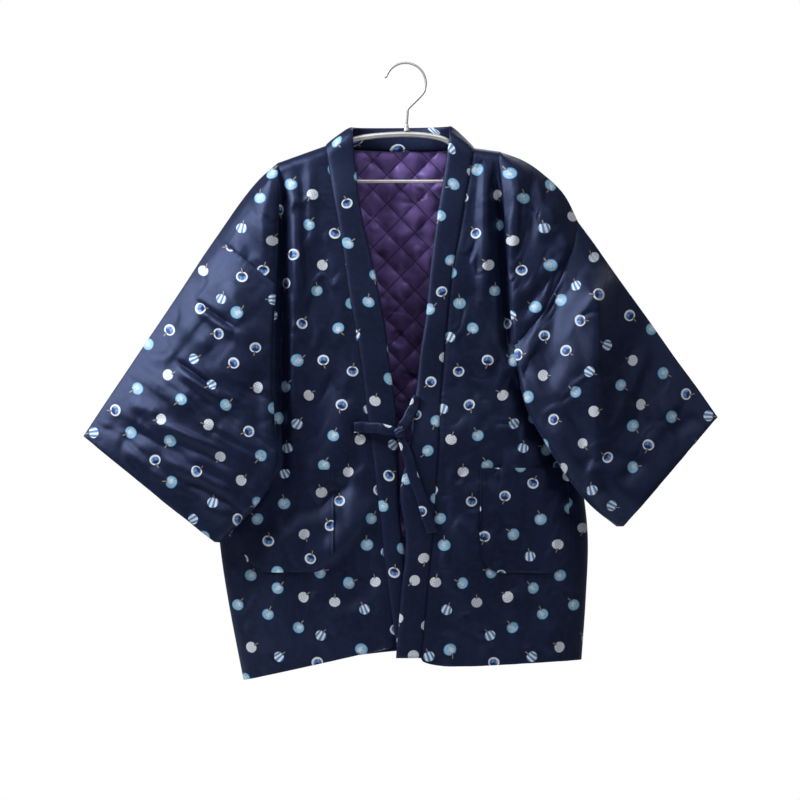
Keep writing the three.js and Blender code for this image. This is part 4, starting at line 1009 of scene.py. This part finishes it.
def hook_line():
    """An arc round the rail, then a bend into the upright stem."""
    angle = np.linspace(2.8, -0.55, 13)
    rows = [(-29.7, -19.3)]
    rows += [(HOOK_ARC * math.cos(a), HOOK_CENTRE_Z + HOOK_ARC * math.sin(a)) for a in angle]
    rows += [(12, -56), (4, -64), (STEM_X + 1.2, -72), (STEM_X, -85.7)]
    return through(upright(rows), 160)


hanger_tube = round_tube("hanger_tube", through(upright(ARMS), 200), TUBE_RADIUS)
bar_line = points(np.linspace(ROD_START, ROD_END, 12), 0, ROD_Z)
hanger_rod = round_tube("hanger_rod", bar_line, ROD_RADIUS)
hanger_wire = round_tube("hanger_wire", hook_line(), WIRE_RADIUS, 16)
ferrule_z = np.array([-96.1, -96.0, -94.5, -92, -89, -86.4, -86])
ferrule_radius = np.array([3.9, 4.4, 4.3, 3.3, 2.8, 2.6, 2.2])
hanger_collar = round_tube("hanger_collar", points(STEM_X, 0, ferrule_z), ferrule_radius, 24)

# %% [markdown]
# Materials are networks of nodes, and drawing them by hand takes many lines. Two small classes keep
# them short: a Value is what a node gives out and takes plain arithmetic, and a Finish makes the nodes
# and links them.
# %% Helpers for materials


class Value:
    """A number or vector that nodes work out at each place, and that takes plain arithmetic."""

    def __init__(self, fin, socket):
        self.fin, self.socket = fin, socket

    def __add__(self, other):
        return self.fin.math("ADD", self, other)

    def __sub__(self, other):
        return self.fin.math("SUBTRACT", self, other)

    def __mul__(self, other):
        return self.fin.math("MULTIPLY", self, other)

    def __truediv__(self, other):
        return self.fin.math("DIVIDE", self, other)

    def __abs__(self):
        return self.fin.math("ABSOLUTE", self)

    def sin(self):
        return self.fin.math("SINE", self)

    def cos(self):
        return self.fin.math("COSINE", self)


class Finish:
    """A material under construction, with its node tree and its Principled shader."""

    def __init__(self, name):
        self.material = bpy.data.materials.new(name)
        self.material.use_nodes = True
        self.nodes = self.material.node_tree.nodes
        self.shader = self.nodes["Principled BSDF"]

    def fill(self, node, inputs):
        """Links each named or numbered input, or sets it to a number or a colour."""
        for key, value in inputs.items():
            if isinstance(value, Value):
                self.material.node_tree.links.new(value.socket, node.inputs[key])
            else:
                node.inputs[key].default_value = value

    def node(self, kind, inputs, **settings):
        """Makes a node and returns its outputs, found by name or by number."""
        made = self.nodes.new("ShaderNode" + kind)
        for key, value in settings.items():
            setattr(made, key, value)
        self.fill(made, inputs)
        named = {out.name: Value(self, out) for out in made.outputs}
        return {**named, **{i: Value(self, out) for i, out in enumerate(made.outputs)}}

    def math(self, kind, *numbers):
        return self.node("Math", dict(enumerate(numbers)), operation=kind)[0]

    def step(self, value, low, high):
        """0 where value is at low and 1 where it is at high, with an even rise between."""
        ends = {0: value, 1: low, 2: high}
        return self.node("MapRange", ends, interpolation_type="SMOOTHSTEP")[0]

    def mix(self, share, a, b):
        return self.node("Mix", {0: share, 6: a, 7: b}, data_type="RGBA")[2]

    def noise(self, where, scale, detail=2.0):
        return self.node("TexNoise", {"Vector": where, "Scale": scale, "Detail": detail})[0]

    def bump(self, height, strength, depth):
        return self.node("Bump", {"Height": height, "Strength": strength, "Distance": depth})[0]

    def wear(self, *pieces):
        for piece in pieces:
            piece.data.materials.append(self.material)


def colour(red, green, blue):
    """A screen colour, 0 to 255, as linear light: its share plus 0.055, over 1.055, to the power 2.4."""
    shares = [v / 255 for v in (red, green, blue)]
    return (*(((v + 0.055) / 1.055) ** 2.4 if v > 0.04 else v / 12.92 for v in shares), 1.0)


# %% [markdown]
# The outer cloth is a navy cotton with a satin face, printed with small round fruits on short stems.
# The print is a repeat worked out in the shader: a Voronoi texture scatters the fruits on a slanted,
# slightly uneven lattice, each gets its own turn and one of four kinds, and distances from its centre
# draw the rim, the cut face, the hatching, the stripes and the stem. It reads the pattern places, so
# the print bends, folds and is cut at seams with the cloth.
# %% Printed cotton
FRUIT_STEP = 48 * MM
FRUIT_RADIUS = 8.5 * MM
SLANT = 0.36
SCATTER = 0.42
CUT_FROM, HATCHED_FROM, STRIPED_FROM = 0.5, 0.7, 0.86
THREAD_PITCH = 0.7 * MM
THREAD_DEPTH = 0.12 * MM


def fruit_place(fin, where):
    """Place within the nearest fruit, turned its own way and measured in fruit radii, and the fruit's
    own dice."""
    across = fin.node("SeparateXYZ", {0: where})
    u, v = across[0], across[1]
    lattice = fin.node("CombineXYZ", {0: (v * SLANT + u) / FRUIT_STEP, 1: (u * -SLANT + v) / FRUIT_STEP})[0]
    cells = fin.node("TexVoronoi", {"Vector": lattice, "Scale": 1.0, "Randomness": SCATTER},
                     voronoi_dimensions="2D", feature="F1")
    offset = fin.node("VectorMath", {0: lattice, 1: cells["Position"]}, operation="SUBTRACT")[0]
    local = fin.node("SeparateXYZ", {0: offset})
    dice = fin.node("SeparateColor", {0: cells["Color"]})
    unit = FRUIT_STEP / FRUIT_RADIUS / math.sqrt(1 + SLANT**2)
    grow = dice[0] * (unit * 0.2) + unit * 0.92
    a, b = local[0] * grow, local[1] * grow
    turn = (dice[1] - 0.5) * 1.7 + fin.step(dice[2], 0.76, 0.77) * math.pi
    return a * turn.cos() - b * turn.sin(), a * turn.sin() + b * turn.cos(), dice[0], dice[2]


def ellipse(fin, x, y, cx, cy, rx, ry):
    """Distance from the centre of an ellipse, 1 on its outline."""
    dx, dy = (x - cx) / rx, (y - cy) / ry
    return fin.math("SQRT", dx * dx + dy * dy)


def light_fruit(fin, x, y, radius, where):
    """A whole fruit: white where it is lit, blue at its rim, with the streaks of a brush."""
    glow = fin.step(ellipse(fin, x, y, -0.12, 0.15, 0.62, 0.74), 1.0, 0.25)
    lit = fin.mix(glow * 0.85, colour(142, 186, 212), colour(212, 219, 226))
    rimmed = fin.mix(fin.step(radius, 0.72, 1.0), lit, colour(96, 146, 184))
    return fin.mix(fin.step(fin.noise(where, 330.0, 3.0), 0.42, 0.66) * 0.55, rimmed, colour(92, 140, 178))


def cut_fruit(fin, x, y):
    """A fruit cut open: a white rim round a blue face, which is paler in its segments and dark at the
    top."""
    face = fin.step(ellipse(fin, x, y, 0.03, 0.06, 0.74, 0.64), 1.1, 0.88)
    segments = fin.step((x * 9.5).sin(), 0.5, 0.95)
    lower = fin.step(abs(x) * -0.35 + y, 0.12, -0.12)
    flesh = fin.mix(segments * 0.6, colour(70, 108, 170), colour(142, 186, 212))
    return fin.mix(face, colour(212, 219, 226), fin.mix(lower, colour(26, 38, 80), flesh))


def hatched_fruit(fin, x, y):
    """A white fruit with two crossed sets of fine grey lines."""
    hatch = fin.step(((x + y * 0.5) * 15).sin(), 0.2, 0.8)
    cross = fin.step(((y - x * 0.5) * 13).sin(), 0.45, 0.9)
    return fin.mix(fin.math("MAXIMUM", hatch, cross) * 0.42, colour(212, 219, 226), colour(120, 130, 150))


def striped_fruit(fin, x, y):
    """White stripes that spread a little towards the top, over blue."""
    bands = fin.step(((x + x * y * 0.25) * 8.2).sin(), -0.15, 0.2)
    return fin.mix(bands, colour(80, 128, 178), colour(212, 219, 226))


def fruit_print(fin, cloth, where):
    """The cloth's colour with the fruits and their stems over it."""
    x, y, kind, dice = fruit_place(fin, where)
    notch = fin.step(abs(x), 0.34, 0.0) * fin.step(y, 0.3, 0.9)
    radius = ellipse(fin, x, y, 0, 0, 1.0, 0.92) + notch * 0.3
    fruit = light_fruit(fin, x, y, radius, where)
    kinds = ((CUT_FROM, cut_fruit), (HATCHED_FROM, hatched_fruit), (STRIPED_FROM, striped_fruit))
    for least, drawn in kinds:
        fruit = fin.mix(fin.step(kind, least, least + 0.001), fruit, drawn(fin, x, y))
    bent = x - (y - 0.8) * (dice - 0.5)
    stem = fin.step(abs(bent), 0.115, 0.055) * (fin.step(y, 0.55, 0.68) * fin.step(y, 1.5, 1.42))
    worn = fin.mix(fin.step(fin.noise(where, 520.0, 2.0), 0.55, 0.8) * 0.4, fruit, cloth)
    printed = fin.mix(fin.step(radius, 1.03, 0.95), cloth, worn)
    return fin.mix(stem, printed, colour(138, 130, 114))


def weave(fin, where):
    """Bump of a plain weave: two crossed sets of threads, with slubs in them."""
    place = fin.node("SeparateXYZ", {0: where})
    warp, weft = ((place[i] * (2 * math.pi / THREAD_PITCH)).sin() for i in (0, 1))
    return fin.bump(warp * weft + fin.noise(where, 900.0, 3.0) * 1.6, 0.35, THREAD_DEPTH)


def printed_cotton():
    fin = Finish("printed_cotton")
    where = fin.node("UVMap", {}, uv_map="pattern")[0]
    broad, fine = fin.noise(where, 9.0, 4.0), fin.noise(where, 650.0, 2.0)
    mottle = fin.noise(where, 130.0, 4.0)
    navy = fin.mix(fin.step(broad, 0.35, 0.68), colour(7, 10, 25), colour(12, 17, 38))
    navy = fin.mix(fin.step(fine, 0.4, 0.75) * 0.35, navy, colour(25, 33, 62))
    navy = fin.mix(fin.step(mottle, 0.3, 0.75) * 0.5, navy, colour(22, 30, 58))
    fin.fill(fin.shader, {
        "Base Color": fruit_print(fin, navy, where), "Roughness": broad * 0.16 + 0.33,
        "Normal": weave(fin, where), "Specular IOR Level": 0.62,
        "Specular Tint": colour(150, 172, 235),
        "Sheen Weight": 0.16, "Sheen Roughness": 0.45, "Sheen Tint": colour(96, 122, 200)})
    return fin


cotton_pieces = [front_right, front_left, back, sleeve_right, sleeve_left, collar_band, pocket_left,
                 pocket_right, tie_knot, *straps.values()]
printed_cotton().wear(*cotton_pieces)
print("printed cotton on", len(cotton_pieces), "pieces")

# %% [markdown]
# The lining is a thin purple satin: a smoother shader with a strong soft gleam. Its colour is painted darker
# all along the stitch lines as the shade down in the quilting's valleys, and darker still in short dashes
# where the thread shows. The same two sets of slanting lines as in the mesh place the dashes.
# %% Purple satin
DASHES = 22


def stitch_line(fin, a, b):
    """Painted shade of one set of stitch lines, where a is a whole number, with their thread: 1 on the
    thread's dashes along b, and 0.7 between them, which is painted shade down in the quilting's valley."""
    near = fin.step(abs((a * math.pi).sin()), 0.15, 0.04)
    return near * (fin.step((b * (DASHES * math.pi)).sin(), -0.3, 0.1) * 0.3 + 0.7)


def satin():
    fin = Finish("purple_satin")
    where = fin.node("TexCoord", {})["Object"]
    place = fin.node("SeparateXYZ", {0: where})
    x = (place[0] - QUILT_CROSSING[0] * MM) / (2 * QUILT_HALF_WIDE * MM)
    z = (place[2] - QUILT_CROSSING[1] * MM) / (2 * QUILT_HALF_HIGH * MM)
    # Painted shade: the stitch lines are darkened all along as the shade in the quilting's valleys, with the
    # thread's dashes darker still.
    thread_and_valley_shade = fin.math("MAXIMUM", stitch_line(fin, x + z, x - z), stitch_line(fin, x - z, x + z))
    cloudy = fin.step(fin.noise(where, 26.0, 3.0), 0.35, 0.65)
    tint = fin.mix(cloudy, colour(86, 70, 122), colour(108, 90, 150))
    fin.fill(fin.shader, {
        "Base Color": fin.mix(thread_and_valley_shade * 0.7, tint, colour(30, 20, 48)), "Roughness": 0.34,
        "Specular IOR Level": 0.5, "Specular Tint": colour(176, 150, 226),
        "Sheen Weight": 0.25, "Sheen Tint": colour(190, 160, 220),
        "Normal": fin.bump(fin.noise(where, 240.0, 3.0) - thread_and_valley_shade * 0.5, 0.3, 0.6 * MM)})
    return fin


satin().wear(lining_quilt)

# %% [markdown]
# The hanger is light metal: the tube and the rod have a matt, slightly rough coat, and the hook and its
# ferrule are brighter.
# %% Metal


def metal(name, tint, bright, rough, shine):
    """Metal whose tint drifts between two greys and whose roughness has a fine grain."""
    fin = Finish(name)
    where = fin.node("TexCoord", {})["Object"]
    fin.fill(fin.shader, {
        "Base Color": fin.mix(fin.step(fin.noise(where, 30.0), 0.3, 0.7), tint, bright),
        "Metallic": shine, "Roughness": fin.noise(where, 420.0, 4.0) * 0.14 + rough})
    return fin


light_metal = metal("light_metal", colour(196, 196, 194), colour(212, 212, 210), 0.3, 0.6)
light_metal.wear(hanger_tube, hanger_rod)
bright_wire = metal("bright_wire", colour(178, 179, 182), colour(198, 198, 198), 0.34, 0.5)
bright_wire.wear(hanger_wire, hanger_collar)

# %% [markdown]
# The studio is a small pale floor under the coat and a plain white surround, which lights the cloth
# only faintly. A soft light high on the left rakes over the folds, a weaker one stands on the right,
# and two more lift the shoulders and the back.
# %% Studio
FLOOR_Z = -1.25
FLOOR_HALF = 1.3


def floor():
    side = np.array([-FLOOR_HALF, FLOOR_HALF])
    grid = points(side[None, :], side[:, None], FLOOR_Z) / MM
    made = mesh_from_grids("studio_floor", [grid], [grid[..., :2]], [False])
    fin = Finish("studio_paper")
    where = fin.node("TexCoord", {})["Object"]
    paper = fin.mix(fin.noise(where, 3.0), colour(240, 240, 240), colour(248, 248, 248))
    fin.fill(fin.shader, {"Base Color": paper, "Roughness": 0.9})
    fin.wear(made)


def surround(seen, shed):
    """White all round: as bright as seen to the camera, and as bright as shed to the cloth."""
    world = bpy.data.worlds.new("surround")
    bpy.context.scene.world = world
    world.use_nodes = True
    nodes, links = world.node_tree.nodes, world.node_tree.links
    path = nodes.new("ShaderNodeLightPath")
    pick = nodes.new("ShaderNodeMapRange")
    pick.inputs["To Min"].default_value = shed
    pick.inputs["To Max"].default_value = seen
    links.new(path.outputs["Is Camera Ray"], pick.inputs["Value"])
    nodes["Background"].inputs["Color"].default_value = (1, 1, 1, 1)
    links.new(pick.outputs[0], nodes["Background"].inputs["Strength"])


def soft_light(name, place, aim, size, power):
    data = bpy.data.lights.new(name, "AREA")
    data.shape = "RECTANGLE"
    data.size, data.size_y = size
    data.energy = power
    lamp = bpy.data.objects.new(name, data)
    lamp.location = place
    direction = np.array(aim, float) - np.array(place, float)
    tilt = math.acos(-direction[2] / np.linalg.norm(direction))
    lamp.rotation_euler = (tilt, 0, math.atan2(direction[0], -direction[1]) + math.pi)
    lamp.visible_camera = False
    bpy.context.scene.collection.objects.link(lamp)


floor()
surround(1.0, 0.11)
soft_light("key", (-1.3, -0.52, 0.72), (-0.15, 0, -0.35), (0.6, 0.6), 46)
soft_light("fill", (1.5, -1.8, 1.0), (0.1, 0, -0.35), (1.0, 1.0), 9)
soft_light("top", (0.1, -0.85, 1.2), (0, 0, -0.3), (1.4, 0.5), 10)
soft_light("behind", (0.7, 1.9, 0.9), (0, 0, -0.5), (1.4, 1.4), 12)
bpy.context.scene.view_settings.view_transform = "Standard"

# %% [markdown]
# Last, each piece is tied to the plain model: it rides on the coat's one body and stands for its plain
# node, which is hidden.
# %% Ties to the plain model
stands_for = {
    "front_right": front_right, "front_left": front_left, "back": back,
    "sleeve_right": sleeve_right, "sleeve_left": sleeve_left, "collar": collar_band,
    "pocket_left": pocket_left, "pocket_right": pocket_right, "tie_knot": tie_knot,
    "lining_back": lining_quilt, "hanger_frame": hanger_tube, "hanger_bar": hanger_rod,
    "hanger_hook": hanger_wire, "hanger_ferrule": hanger_collar, **straps,
}
for node, piece in stands_for.items():
    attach(piece, "root")
    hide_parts(node)
    if node == "lining_back":
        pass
    elif node.startswith("hanger"):
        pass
    else:
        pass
